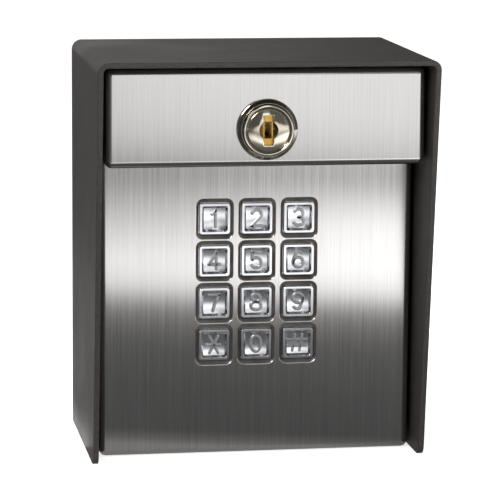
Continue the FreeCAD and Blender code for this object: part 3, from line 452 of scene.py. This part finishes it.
rowPitch = keyRows[0] - keyRows[1]


def cellLines(centres, pitch):
    # grid lines over a row of cells, closer together towards each cell's corners
    t = np.linspace(-1, 1, plate["cellSteps"] + 1)
    spread = (0.5 * t + 0.5 * np.sin(t * math.pi / 2)) * pitch / 2
    return np.unique(np.round(np.concatenate([c + spread for c in centres]), 9))


def wellPatch(x, z, centre):
    # rings from a cell's square edge to the well's mouth, down its dished wall, round its
    # throat and back along the lip: size and corner go from mouth to throat with t
    mouth, throat = np.array(plate["wellMouth"]) / 2, np.array(plate["wellThroat"]) / 2
    mouth[2], throat[2] = plate["wellMouth"][2], plate["wellThroat"][2]
    reach, depth = plate["wellReach"], plate["wellDepth"]
    profile = [(-plate["wellBlend"], 0), (plate["wellStart"], 0), (reach, depth),
               (reach, depth + plate["wellLip"])]
    wall = foldedLine(profile, [0, *plate["wellRounds"], 0], 4, 0.04 * mm)[0]
    rings = []
    for inward, depth in wall:
        sizes = mouth + (throat - mouth) * inward / reach
        rings.append((lambda a, s=sizes: roundedRay(a, s[0], s[1], s[2]), depth))
    edge = loopRound(x - centre[0], z - centre[1])
    return ringPatch(edge, rings, centre, plate["panelFront"])


def buildFaceplate():
    # the pan's section in y and z carried across x; towards each end the section sinks along
    # its own normal by R (1 - cos a) while x runs on by R sin a, which is the end bend
    halfWidth, base, top = plateHigh[0], plateLow[2], plateHigh[2]
    front, back = plate["panelFront"], headerFront
    centresX = keyLeft + keyPitch * np.arange(3)
    xBlock = cellLines(centresX, keyPitch)
    zBlock = cellLines(keyRows[::-1], rowPitch)
    patchWide, patchHigh, patchRows = plate["lockPatch"]
    zLock = np.linspace(-patchHigh, patchHigh, patchRows) + lockZ
    corners = [(front + plate["hem"], base), (front, base)] + [(front, z) for z in zBlock]
    corners += [(front, plate["ledge"]), (back, plate["ledge"])] + [(back, z) for z in zLock]
    corners += [(back, top), (plate["topBack"], top)]
    radii = [0, plate["bend"], *[0] * len(zBlock), 0, plate["bend"], *[0] * len(zLock), plate["bend"], 0]
    line, ways = foldedLine(corners, radii, 8)
    inward = -sideways(ways)                       # from the outer face into the sheet
    bow = np.linspace(0, math.pi / 2, 9)
    bend, flatEnd = plate["bend"], halfWidth - plate["bend"]
    xFlat = np.concatenate([[-flatEnd, -flatEnd + plate["bendGuard"]], xBlock,
                            [flatEnd - plate["bendGuard"], flatEnd]])
    x = np.concatenate([-flatEnd - bend * np.sin(bow[:0:-1]), xFlat, flatEnd + bend * np.sin(bow[1:])])
    sunk = bend - bend * np.cos(bow[1:])
    sink = np.concatenate([sunk[::-1], np.zeros(len(xFlat)), sunk])
    yz = line[:, None] + inward[:, None] * sink[None, :, None]
    points = np.stack([np.broadcast_to(x, yz.shape[:2]), yz[..., 0], yz[..., 1]], -1)
    rows, columns = points.shape[:2]
    quads = np.array(gridFaces(rows, columns)).reshape(rows - 1, columns - 1, 4)
    keep = np.ones((rows - 1, columns - 1), bool)
    middleX, middleZ = (x[1:] + x[:-1]) / 2, (line[1:, 1] + line[:-1, 1]) / 2
    onPanel = np.abs(line[1:, 0] + line[:-1, 0] - 2 * front) < 1e-7
    onHeader = np.abs(line[1:, 0] + line[:-1, 0] - 2 * back) < 1e-7
    inX = (middleX > xBlock[0]) & (middleX < xBlock[-1])
    inZ = onPanel & (middleZ > zBlock[0]) & (middleZ < zBlock[-1])
    keep &= ~(inZ[:, None] & inX[None])
    lockEdge = x[np.abs(x - patchWide).argmin()]
    xLock = x[(x > -lockEdge - 1e-7) & (x < lockEdge + 1e-7)]
    inLock = onHeader & (middleZ > zLock[0]) & (middleZ < zLock[-1])
    keep &= ~(inLock[:, None] & (np.abs(middleX) < lockEdge)[None])
    parts = [(points.reshape(-1, 3), quads[keep].tolist())]
    for centreX in centresX:
        for centreZ in keyRows:
            cellX = xBlock[np.abs(xBlock - centreX) < keyPitch / 2 + 1e-7]
            cellZ = zBlock[np.abs(zBlock - centreZ) < rowPitch / 2 + 1e-7]
            parts.append(wellPatch(cellX, cellZ, (centreX, centreZ)))
    edge = loopRound(xLock - lockX, zLock - lockZ)
    hole = plate["lockHole"]
    parts.append(ringPatch(edge, [(lambda a: np.full(len(a), hole), 0)], (lockX, lockZ), back))
    slopeTop, sideBack = plate["ledge"] + plate["slope"], plate["sideBack"]
    rear = [(plate["topBack"], slopeTop), (sideBack, slopeTop - (sideBack - plate["topBack"])),
            (sideBack, base + plate["relief"])]
    for side, column in ((-1, 0), (1, columns - 1)):    # flat side returns behind the end bends
        rim = points[:, column]
        ring = np.concatenate([rim, [(side * halfWidth, y, z) for y, z in rear]])
        parts.append((ring, [list(range(len(ring)))]))
    points, faces = joinParts(parts)
    piece = tidy(meshPiece("faceplatePan", points, faces, brushed), 2e-6)
    frontmost = min(piece.data.polygons, key=lambda f: f.center.y)
    if frontmost.normal.y > 0:                     # the open pan was turned inside out
        piece.data.flip_normals()
    grain = piece.data.uv_layers.new(name="grain")    # U across the grain, V along it
    at = np.empty(len(piece.data.loops), int)
    piece.data.loops.foreach_get("vertex_index", at)
    place = np.empty(len(piece.data.vertices) * 3)
    piece.data.vertices.foreach_get("co", place)
    place = place.reshape(-1, 3)[at]
    across, along = place[:, 0] + 0.3 * place[:, 1], place[:, 2] + 0.02 * place[:, 1]
    grain.data.foreach_set("uv", np.stack([across, along], -1).ravel())
    wall = piece.modifiers.new("wall", "SOLIDIFY")
    wall.thickness, wall.offset, wall.use_even_offset = plate["wall"], -1, False
    whole = bpy.data.meshes.new_from_object(piece.evaluated_get(bpy.context.evaluated_depsgraph_get()))
    piece.modifiers.remove(wall)
    piece.data = whole
    # the faces inside each well take the second material, whose darker, browner colour is painted shade for
    # the recesses
    piece.data.materials.append(wellShadeSteel)
    middles = np.empty(len(whole.polygons) * 3)
    whole.polygons.foreach_get("center", middles)
    middles = middles.reshape(-1, 3)
    column = np.round((middles[:, 0] - keyLeft) / keyPitch).clip(0, 2)
    row = np.round((keyRows[0] - middles[:, 2]) / rowPitch).clip(0, 3)
    aside = np.abs(middles[:, 0] - keyLeft - column * keyPitch)
    above = np.abs(middles[:, 2] - keyRows[0] + row * rowPitch)
    wellShadeFaces = ((aside < plate["wellMouth"][0] / 2) & (above < plate["wellMouth"][1] / 2)
              & (middles[:, 1] > plate["panelFront"] + plate["wellShadeFrom"]))
    whole.polygons.foreach_set("material_index", wellShadeFaces.astype(int))
    return creased(piece, plate["crease"])


faceplatePan = buildFaceplate()
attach(faceplatePan, "faceplate")
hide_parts("faceplate")
print("faceplate made")


# the keys: a rimmed, dished cap with a raised character, on a skirt and a stem

key = {
    "cap": 13.7 * mm, "corner": 1.1 * mm, "rim": 1.1 * mm, "floor": 9.7 * mm, "floorCorner": 0.7 * mm,
    "dish": 0.9 * mm, "hollow": (0.34 * mm, 0.22 * mm),      # hollow across and down
    "edge": 0.12 * mm, "rimRound": 0.25 * mm,                # radii outside and inside the rim
    "skirt": 15.1 * mm, "skirtFront": 3.6 * mm, "skirtBack": 4.8 * mm,
    "skirtCorner": 2.3 * mm, "skirtEdge": 0.2 * mm,
    "stem": 3.0 * mm, "stemFoot": 0.6 * mm, "stemEdge": 0.3 * mm, "length": 7.4 * mm,
    "characterHeight": 8.6 * mm, "characterWidth": 6.2 * mm, "stroke": 1.35 * mm, "raised": 0.75 * mm,
    "strokeFoot": 0.3 * mm,                                  # how far the strokes go into the dish
    "thinStroke": {"hash": 1.0 * mm, "star": 1.15 * mm},
}


def keyHollow(x, z):
    # extra depth of the dish: a parabola across plus a parabola down
    floor = key["floor"] / 2
    across, down = (1 - np.minimum((x / floor) ** 2, 1)), (1 - np.minimum((z / floor) ** 2, 1))
    return key["hollow"][0] * across + key["hollow"][1] * down


def keyCap(centre, frontY):
    # rounded-square rings, each a half size, a corner radius and a depth, from the middle of
    # the dish out over the rim and back to the stem
    half, floor = key["cap"] / 2, key["floor"] / 2
    rimIn = half - key["rim"]
    out = np.linspace(0.001, 1, 7)
    inner = key["floorCorner"]
    rings = [(floor * t, inner * t, key["dish"]) for t in out]
    bevel = foldedLine([(floor, key["dish"]), (rimIn, 0), (half, 0), (half, key["skirtFront"])],
                       [0, key["rimRound"], key["edge"], 0], 3, 0.03 * mm)[0]
    for size, depth in bevel[1:]:
        share = np.clip((size - floor) / (half - floor), 0, 1)
        rings.append((size, inner + (key["corner"] - inner) * share, depth))
    skirt, corner, soft = key["skirt"] / 2, key["skirtCorner"], key["skirtEdge"]
    rings += [(skirt - soft, corner - soft / 2, key["skirtFront"]), (skirt, corner, key["skirtFront"] + soft),
              (skirt, corner, key["skirtBack"])]
    stem, flare, chamfer = key["stem"], key["stemFoot"], key["stemEdge"]
    rings += [(stem + flare, stem + flare, key["skirtBack"]), (stem, stem, key["skirtBack"] + flare),
              (stem, stem, key["length"] - chamfer), (stem - chamfer, stem - chamfer, key["length"]),
              (1e-6, 1e-6, key["length"])]
    t = np.linspace(-1, 1, 17)
    square = 0.45 * t + 0.55 * np.sin(t * math.pi / 2)
    edge = loopRound(square, square)
    angle = np.arctan2(edge[:, 1], edge[:, 0])
    layers = []
    for size, corner, depth in rings:
        r = roundedRay(angle, size, size, corner)
        if depth <= key["dish"] and size <= rimIn:
            depth = depth + keyHollow(r * np.cos(angle), r * np.sin(angle)) * depth / key["dish"]
        layers.append(np.stack([centre[0] + r * np.cos(angle), np.full(len(r), frontY + depth),
                                centre[1] + r * np.sin(angle)], -1))
    return np.concatenate(layers), gridFaces(len(layers), len(angle), closeColumns=True)


def arc(x, z, radiusX, radiusZ, start, end, count=20):
    # points along an ellipse round (x, z), from one angle to another in degrees
    a = np.radians(np.linspace(start, end, count))
    return np.stack([x + radiusX * np.cos(a), z + radiusZ * np.sin(a)], -1)


def line(*points):
    # a stroke straight from point to point
    return np.array(points, float)


# strokes of each character in a box from -1 to 1 both ways
sixBack = np.concatenate([arc(0.06, 0.42, 0.80, 0.58, 38, 120, 12),
                          arc(0.86, -0.38, 1.82, 1.25, 150, 182, 10)])
strokes = {
    "0": [arc(0, 0, 0.92, 1, 90, 450, 40)],
    "1": [line((0.2, -1), (0.2, 1)), line((0.2, 1), (-0.45, 0.55))],
    "2": [np.concatenate([arc(0, 0.42, 0.88, 0.58, 165, -18), line((-0.92, -1))]),
          line((-0.92, -1), (0.95, -1))],
    "3": [arc(-0.02, 0.5, 0.80, 0.5, 155, -90), arc(-0.02, -0.5, 0.94, 0.5, 90, -155)],
    "4": [line((0.4, -1), (0.4, 1)), line((0.4, 1), (-0.95, -0.42)), line((-0.95, -0.42), (1, -0.42))],
    "5": [line((0.8, 1), (-0.68, 1)), line((-0.68, 1), (-0.82, 0.1)),
          arc(-0.02, -0.36, 0.94, 0.64, 140, -150)],
    "6": [sixBack, arc(0, -0.38, 0.92, 0.62, 90, 450, 32)],
    "7": [line((-0.92, 1), (0.92, 1)), line((0.92, 1), (0.1, -0.2), (-0.2, -1))],
    "8": [arc(0, 0.5, 0.78, 0.5, 90, 450, 28), arc(0, -0.48, 0.94, 0.52, 90, 450, 32)],
    "9": [-sixBack, arc(0, 0.38, 0.92, 0.62, 90, 450, 32)],
    "star": [line((-0.8, -1.05), (0.8, 1.05)), line((0.8, -1.05), (-0.8, 1.05)), line((-1.15, 0), (1.15, 0))],
    "hash": [line((-0.95, -1), (-0.45, 1)), line((0.4, -1), (0.9, 1)), line((-1.65, 0.4), (1.75, 0.4)),
             line((-1.75, -0.4), (1.65, -0.4))],
}


def ribbon(path, width, frontY, height):
    # a low bar with a half-round end at each end of its path: eight points across (foot, side,
    # shoulder and top, and back), pulled in at the ends as the cosine of a quarter turn
    path = np.asarray(path, float)
    closed = np.linalg.norm(path[0] - path[-1]) < 1e-7
    ways = np.gradient(path[:-1] if closed else path, axis=0)
    if closed:
        path = path[:-1]
        ways = np.roll(path, -1, 0) - np.roll(path, 1, 0)
    ways /= np.linalg.norm(ways, axis=1)[:, None]
    size = np.ones(len(path))
    if not closed:
        quarter = np.linspace(math.pi / 2, 0, 5)[:-1]
        tip = path[:1] - ways[:1] * np.sin(quarter)[:, None] * width / 2
        tail = path[-1:] + ways[-1:] * np.sin(quarter[::-1])[:, None] * width / 2
        path = np.concatenate([tip, path, tail])
        ways = np.concatenate([np.repeat(ways[:1], 4, 0), ways, np.repeat(ways[-1:], 4, 0)])
        size = np.concatenate([np.cos(quarter) + 0.02, size, np.cos(quarter[::-1]) + 0.02])
    across = sideways(ways)
    spread = np.array([0.56, 0.46, 0.40, 0.32]) * width
    rise = np.array([-key["strokeFoot"], height * 0.7, height * 0.95, height])
    spread, rise = np.concatenate([spread, -spread[::-1]]), np.concatenate([rise, rise[::-1]])
    flat = path[:, None] + across[:, None] * spread[None, :, None] * size[:, None, None]
    points = np.stack([flat[..., 0], np.broadcast_to(frontY - rise, flat.shape[:2]), flat[..., 1]], -1)
    rows, columns = points.shape[:2]
    faces = gridFaces(rows, columns, closeRows=closed, closeColumns=True)
    if not closed:
        faces += [list(range(columns)), [(rows - 1) * columns + i for i in range(columns)]]
    return points.reshape(-1, 3), faces


def buildKey(name):
    # the cap with its character's strokes standing in the dish
    low, high = span("key_" + name)
    centre, frontY = (low + high)[[0, 2]] / 2, low[1]
    parts = [keyCap(centre, frontY)]
    scale = np.array([key["characterWidth"] - key["stroke"], key["characterHeight"] - key["stroke"]]) / 2
    width, base = key["thinStroke"].get(name, key["stroke"]), frontY + key["dish"] + key["hollow"][0]
    for stroke in strokes[name]:
        parts.append(ribbon(stroke * scale + centre, width, base, key["raised"]))
    points, faces = joinParts(parts)
    capFaces = len(parts[0][1])
    piece = meshPiece("keyCap_" + name, points, faces, keyChrome)
    piece.data.materials.append(castChrome)
    isCharacter = np.arange(len(piece.data.polygons)) >= capFaces
    piece.data.polygons.foreach_set("material_index", isCharacter.astype(int))
    piece = creased(tidy(piece, 1e-6), 28)
    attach(piece, "key_" + name)
    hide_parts("key_" + name)


for name in strokes:
    buildKey(name)
print("twelve keys made")


# the key lock: dress ring, head and barrel, plug with its key hole

lock = {
    "face": lockBodyLow[1], "header": headerFront, "backEnd": lockBodyHigh[1], "tail": plugHigh[1],
    "bezelRadius": 13.4 * mm, "bezelRise": (3.4 * mm, 1.5 * mm, 1.3 * mm),    # crest, foot of cone, wall
    "bezelCrest": 0.15 * mm, "bezelFoot": 0.35 * mm,
    "bezelEdges": (0.06 * mm, 0.06 * mm, 0.25 * mm, 0.15 * mm),    # radii from the crest outwards
    "headRadius": 11.6 * mm, "headEdge": 0.9 * mm, "barrelRadius": 11.0 * mm, "barrelChamfer": 0.5 * mm,
    "thread": 1.0 * mm, "threadDepth": 0.4 * mm, "threadEnds": (3 * mm, 0.6 * mm),
    # the head's lip: how far under the face and outside the bore
    "lip": [(0.9 * mm, 0), (0.5 * mm, 0.15 * mm), (0, 0.9 * mm), (0.1 * mm, 1.5 * mm)],
    "headEdges": (0.1 * mm, 0.1 * mm, 0.6 * mm, 0.15 * mm, 0.1 * mm),    # radii along the lip
    "plugRadius": 9.4 * mm, "plugEdge": 0.55 * mm, "plugHead": 8 * mm, "gap": 0.05 * mm,
    "crown": 0.7 * mm, "crownFrom": 3.5 * mm,    # the dome's height, and where its flat middle ends
    "coreRadius": 7.4 * mm, "tailRadius": 5 * mm, "camSeat": 3 * mm, "camThickness": 2 * mm,
    "hole": 3.9 * mm, "slotWide": 4.2 * mm, "slotHigh": 13.3 * mm, "slotDeep": 20 * mm, "chamfer": 0.3 * mm,
    "holeRow": 6 * mm, "guard": 0.05 * mm,    # rows of the hole's wall: under the face, under the chamfer
}


def softened(section, radii, steps=4):
    # a closed section's corners rounded: the fold starts and ends half way along its last side
    section = [np.array(p, float) for p in section]
    start = (section[-1] + section[0]) / 2
    return foldedLine([start, *section, start], [0, *radii, 0], steps, 0.03 * mm)[0]


def buildBezel():
    # dress ring: a cone up to the head, over a short straight wall
    y, inner, outer = lock["header"], lock["headRadius"], lock["bezelRadius"]
    crest, foot, wall = lock["bezelRise"]
    section = [(y, inner), (y - crest, inner), (y - crest, inner + lock["bezelCrest"]),
               (y - foot, outer - lock["bezelFoot"]), (y - wall, outer), (y, outer)]
    return lathe("lockBezel", softened(section, [0, *lock["bezelEdges"], 0]), nickel, lockX, lockZ)


def buildLockBody():
    # round head in front of the header, bored for the plug, and a threaded barrel behind it
    face, header, end = lock["face"], lock["header"], lock["backEnd"]
    bore, head, barrel = lock["plugRadius"] + lock["gap"], lock["headRadius"], lock["barrelRadius"]
    core, seat = lock["coreRadius"] + lock["gap"], face + lock["plugHead"]
    front = [(seat, bore), *[(face + deep, bore + out) for deep, out in lock["lip"]],
             (face + lock["headEdge"], head), (header, head), (header, barrel)]
    start, stop = header + lock["threadEnds"][0], end - lock["threadEnds"][1]
    turns = np.arange(start, stop, lock["thread"] / 2)
    thread = [(y, barrel - lock["threadDepth"] * (i % 2)) for i, y in enumerate(turns)]
    back = [(end, barrel - lock["barrelChamfer"]), (end, core), (seat, core)]
    radii = [0, *lock["headEdges"], 0, 0, *[0] * len(thread + back)]
    return lathe("lockBody", softened(front + thread + back, radii), nickel, lockX, lockZ)


def keyHoleEdge(angle, extra=0.0):
    # outline of a round hole crossed by an upright slot, as the distance along each ray: the
    # farther of the circle's radius and the slot's side or end
    wide, high = lock["slotWide"] / 2 + extra, lock["slotHigh"] / 2 + extra
    c, s = np.abs(np.cos(angle)), np.abs(np.sin(angle))
    slot = np.minimum(wide / np.maximum(c, 1e-9), high / np.maximum(s, 1e-9))
    return np.maximum(lock["hole"] + extra, slot)


def buildPlug():
    # columns are rays from the lock's axis; rows run from the bottom of the key hole out over
    # its chamfer, across the domed face (depth = crown times the square of the way out from the
    # flat middle), down the side and back to the tail
    wide, high = lock["slotWide"] / 2, lock["slotHigh"] / 2
    slotSide, slotCorner = math.acos(wide / lock["hole"]), math.atan2(high, wide)
    turn = np.concatenate([np.linspace(0, slotSide, 13), np.linspace(slotSide, slotCorner, 6)[1:],
                           np.linspace(slotCorner, math.pi / 2, 5)[1:]])
    quarter = np.concatenate([turn, math.pi - turn[-2::-1]])
    angle = np.concatenate([quarter, math.pi + quarter[1:-1]])
    face, radius, softEdge = plugLow[1], lock["plugRadius"], lock["plugEdge"]
    edge = keyHoleEdge(angle)
    bottom = face + lock["slotDeep"]
    rows = [(edge * 1e-4, bottom), (edge * 0.5, bottom), (edge, bottom), (edge, face + lock["holeRow"]),
            (edge, face + lock["chamfer"] + lock["guard"]), (edge, face + lock["chamfer"])]
    lip = keyHoleEdge(angle, lock["chamfer"])
    shoulder, flat = radius - softEdge, lock["crownFrom"]
    for t in (0, 0.06, 0.2, 0.4, 0.6, 0.8, 0.94, 1):
        r = lip + (shoulder - lip) * t
        rows.append((r, face + lock["crown"] * np.clip((r - flat) / (shoulder - flat), 0, 1) ** 2))
    for a in np.linspace(0.25, 1, 4) * math.pi / 2:
        rows.append((shoulder + softEdge * math.sin(a) + 0 * edge,
                     face + lock["crown"] + softEdge * (1 - math.cos(a))))
    core, thin, seat = lock["coreRadius"], lock["tailRadius"], lock["camSeat"]
    headEnd = lock["face"] + lock["plugHead"] - 2 * lock["gap"]
    end, tail = lock["backEnd"], lock["tail"]
    camFront = tail - lock["camThickness"]
    for r, y in ((radius, headEnd), (core, headEnd), (core, end), (thin, end), (thin, camFront),
                 (seat, camFront), (seat, tail), (1e-7, tail)):
        rows.append((r + 0 * edge, y))
    layers = [np.stack([lockX + r * np.cos(angle), y + 0 * angle, lockZ + r * np.sin(angle)], -1)
              for r, y in rows]
    faces = gridFaces(len(layers), len(angle), closeColumns=True)
    return creased(tidy(meshPiece("lockPlug", np.concatenate(layers), faces, nickel)), 32)


for build, body, node in ((buildBezel, "faceplate", "lock_bezel"), (buildLockBody, "faceplate", "lock_body"),
                          (buildPlug, "lock_plug", "lock_plug")):
    piece = build()
    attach(piece, body)
    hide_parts(node)
print("lock made")


# finishes of the CAD nodes that stay as they are

finishes = {
    powderCoat: ["back_plate", "strike_bracket", "stop_rail_left", "stop_rail_right", "hinge_rail"],
    millSteel: ["hinge_leaf_fixed", "hinge_leaf_moving", "hinge_pin", "backing_plate", "lock_washer"],
    zinc: ["hinge_screws", "earth_stud", "keypad_studs", "keypad_nuts", "board_screws", "lock_cam",
           "cam_screw", "lock_nut"],
    brass: ["plug_wafers", "earth_nut", "board_standoffs"],
    blackRubber: ["cable_grommet"],
    foam: ["seal_left", "seal_right"],
    silicone: ["key_mat"],
    blackPlastic: ["keypad_frame", "microcontroller", "sounder"],
    bluePlastic: ["relays"],
    greenPlastic: ["terminal_block"],
    boardMask: ["control_board", "keypad_board"],
}
for finish, nodes in finishes.items():
    for node in nodes:
        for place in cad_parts[node].material_slots:
            place.material = finish
print("finishes given to the CAD nodes")


# floor, light and camera

cardLift = 0.3 * mm    # how far the lying cards are over the floor
stage = {
    "floor": "#f4f3f1",
    "floorGlow": 0.75,
    "world": 0.26,
    "room": 8.0,                # half the floor's side and the height of the white backdrop
    "mirrorTint": "#fffefd",
    "mirrorStops": [    # distance in front of the panel and brightness there, as the steel mirrors it
        (0.00, 0.34), (0.012, 0.17), (0.03, 0.08), (0.12, 0.09), (0.24, 0.13), (0.28, 0.20),
        (0.31, 0.25), (0.345, 0.42), (0.375, 1.00), (0.41, 1.72), (0.48, 2.0), (0.65, 1.98),
        (0.79, 1.2), (0.88, 0.55), (0.98, 0.60), (1.08, 0.98), (1.28, 1.24), (1.65, 1.27),
    ],
    "mirrorFade": [     # how much of the left is lost there, by the same distance
        (0.00, 0.0), (0.50, 0.0), (0.66, 0.40), (0.92, 0.45), (1.05, 0.0),
    ],
    "mirrorReach": 2.6,
    # across x, where each starts and stops and its values there: the card's gain, how much of the
    # fade counts, and the dimming at its left end
    "mirrorRanges": [(-0.02, 0.24, 1.5, 2.1), (0.02, 0.22, 1.0, 0.0), (-0.30, -0.07, 0.15, 1.0)],
    "mirrorLean": (0.28, -0.03, 0.05),    # the stops move this much per metre of x, from, at most
    # what the steel, the chrome and the hood mirror: name, brightness, low and high corner
    "cards": [
        ("leftCard", 0.04, (-2.5, 0.42, cardLift), (-0.1, 3, cardLift)),
        ("leftNearCard", 0.22, (-1, -0.1, cardLift), (-0.085, 0.12, cardLift)),
        ("leftMidCard", 0.46, (-1, 0.12, cardLift), (-0.085, 0.40, cardLift)),
        ("aboveCard", 0.05, (-1.2, -0.8, 0.9), (1.2, 0.3, 0.9)),
        ("leftWall", 0.07, (-0.9, -0.9, 0), (-0.9, 0.4, 0.9)),
        ("rightWall", 0.10, (1.0, -1.3, 0), (1.0, 0.3, 0.9)),
        ("frontHighCard", 1.5, (0.1, -2.6, 0.1), (0.5, -2.6, 0.9)),
        ("frontLeftCard", 0.10, (-1.8, -2.6, 0), (0.1, -2.6, 1.2)),
        ("frontRightCard", 0.12, (0.5, -2.6, 0.1), (1.6, -2.6, 1.2)),
        ("rearLeftCard", 0.46, (-2.2, 1.6, 0.1), (0.20, 1.6, 1.4)),
        ("rearRightCard", 0.03, (0.34, 1.6, 0.1), (2.2, 1.6, 1.4)),
    ],
    "lights": [         # name, where, aimed at, width, height, watts
        ("topSoftbox", (-0.3, 0.1, 1.5), (0, 0, 0.1), 1.1, 0.9, 12),
        ("frontSoftbox", (-1.1, -1.7, 1.3), (0, 0, 0.1), 0.9, 0.7, 26),
        ("sideSoftbox", (1.5, -0.9, 0.9), (0, 0, 0.1), 0.5, 0.9, 9),
    ],
}


def flatMaterial(name, colour, glow=0.0):
    # matt paper or, with a glow, a lit card
    material, tree, shader, coords = newMaterial(name, Emission_Strength=glow,
                                                 Emission_Color=linear("#ffffff"))
    cloud = add(tree, "ShaderNodeTexNoise", {"Vector": coords, "Scale": 0.5 / (300 * mm), "Detail": 2.0})
    sheen = add(tree, "ShaderNodeMapRange", {"Value": cloud.outputs["Fac"], "To Min": 0.85, "To Max": 0.95})
    feed(tree, shader, {"Roughness": sheen})
    shader.inputs["Base Color"].default_value = linear(colour)
    return material


def flatPiece(name, low, high, material, seen=True):
    # a flat card from its low to its high corner, lying or upright: they differ along two axes
    first, second = [axis for axis in range(3) if low[axis] != high[axis]]
    along, across = list(low), list(low)
    along[first], across[second] = high[first], high[second]
    piece = meshPiece(name, [low, along, high, across], [[0, 1, 2, 3]], material, smooth=False)
    piece.visible_camera = piece.visible_shadow = piece.visible_diffuse = seen


def mirrorMaterial():
    # a card whose glow follows the stops along y, nearer on the right, and fades to the left:
    # glow = half the stop * gain * (1 - fade * its share) * dimming, all from the stage's values
    material, tree, shader, coords = newMaterial("mirrorCard", Roughness=0.9)
    parts = add(tree, "ShaderNodeSeparateXYZ", {"Vector": coords})
    slope, offset, limit = stage["mirrorLean"]
    lean = add(tree, "ShaderNodeMath", {0: parts.outputs["X"], 1: slope, 2: offset}, operation="MULTIPLY_ADD")
    held = add(tree, "ShaderNodeMath", {0: lean.outputs[0], 1: limit}, operation="MINIMUM")
    far = add(tree, "ShaderNodeMath", {0: held.outputs[0], 1: parts.outputs["Y"]}, operation="SUBTRACT")
    reach = stage["mirrorReach"]
    share = add(tree, "ShaderNodeMath", {0: far.outputs[0], 1: reach}, operation="DIVIDE")
    ramp, fade = [
        add(tree, "ShaderNodeValToRGB", {"Fac": share.outputs[0]},
            [(distance / reach, (value / part, value / part, value / part, 1)) for distance, value in stops])
        for stops, part in ((stage["mirrorStops"], 2), (stage["mirrorFade"], 1))]
    side, left, edge = [
        add(tree, "ShaderNodeMapRange", {"Value": parts.outputs["X"], "From Min": start, "From Max": stop,
                                         "To Min": startValue, "To Max": stopValue})
        for start, stop, startValue, stopValue in stage["mirrorRanges"]]
    lost = add(tree, "ShaderNodeMath", {0: fade.outputs["Color"], 1: left.outputs["Result"]},
               operation="MULTIPLY")
    strength = add(tree, "ShaderNodeMath", {0: 1.0, 1: lost.outputs[0]}, operation="SUBTRACT")
    for factor in (edge.outputs["Result"], side.outputs["Result"], ramp.outputs["Color"]):
        strength = add(tree, "ShaderNodeMath", {0: strength.outputs[0], 1: factor}, operation="MULTIPLY")
    feed(tree, shader, {"Emission Strength": strength})
    shader.inputs["Emission Color"].default_value = linear(stage["mirrorTint"])
    shader.inputs["Base Color"].default_value = linear("#050505")
    return material


r = stage["room"]
flatPiece("floor", (-r, -r, 0), (r, r, 0), flatMaterial("paperFloor", stage["floor"], stage["floorGlow"]))
corners = [(x * r, y * r, z * r) for z in (0, 1) for x, y in ((-1, -1), (1, -1), (1, 1), (-1, 1))]
sides = [[0, 4, 5, 1], [1, 5, 6, 2], [2, 6, 7, 3], [3, 7, 4, 0], [4, 7, 6, 5]]
backdrop = meshPiece("backdrop", corners, sides, flatMaterial("paperBackdrop", stage["floor"], 1.0),
                     smooth=False)
backdrop.visible_shadow = backdrop.visible_diffuse = backdrop.visible_glossy = False
backdrop.visible_transmission = False    # only looked at: the light comes through it
flatPiece("mirrorCard", (-1.6, -2.6, cardLift), (1.6, 0, cardLift), mirrorMaterial(), seen=False)
for name, glow, low, high in stage["cards"]:
    flatPiece(name, low, high, flatMaterial(name, "#050505", glow), seen=False)

world = bpy.data.worlds.new("studio")
bpy.context.scene.world = world
world.use_nodes = True
background = world.node_tree.nodes["Background"].inputs
background["Color"].default_value = linear("#ffffff")
background["Strength"].default_value = stage["world"]
for name, where, target, width, height, watts in stage["lights"]:
    light = bpy.data.lights.new(name, "AREA")
    light.shape, light.size, light.size_y, light.energy = "RECTANGLE", width, height, watts
    lamp = bpy.data.objects.new(name, light)
    bpy.context.scene.collection.objects.link(lamp)
    way = np.array(target) - np.array(where)
    lamp.location, lamp.rotation_euler = where, Vector(way).to_track_quat("-Z", "Y").to_euler()

camera = {
    "place": (-0.2017, -1.1915, 0.2976), "yaw": 9.518, "pitch": 9.654, "roll": 0.461,
    "sensor": 36.0, "focal": 198.3673469,    # mm
}
yaw, pitch, roll = (math.radians(camera[k]) for k in ("yaw", "pitch", "roll"))
forward = np.array([math.sin(yaw) * math.cos(pitch), math.cos(yaw) * math.cos(pitch), -math.sin(pitch)])
right = np.array([math.cos(yaw), -math.sin(yaw), 0])
up = np.cross(right, forward)
lens = bpy.data.cameras.new("camera")
lens.sensor_width, lens.lens = camera["sensor"], camera["focal"]
lens.clip_start, lens.clip_end = 0.05, 50
eye = bpy.data.objects.new("camera", lens)
bpy.context.scene.collection.objects.link(eye)
turn = Matrix([math.cos(roll) * right + math.sin(roll) * up,
               math.cos(roll) * up - math.sin(roll) * right, -forward])
eye.matrix_world = Matrix.Translation(camera["place"]) @ turn.transposed().to_4x4()
bpy.context.scene.camera = eye
bpy.context.scene.view_settings.view_transform = "Standard"
print("stage set")
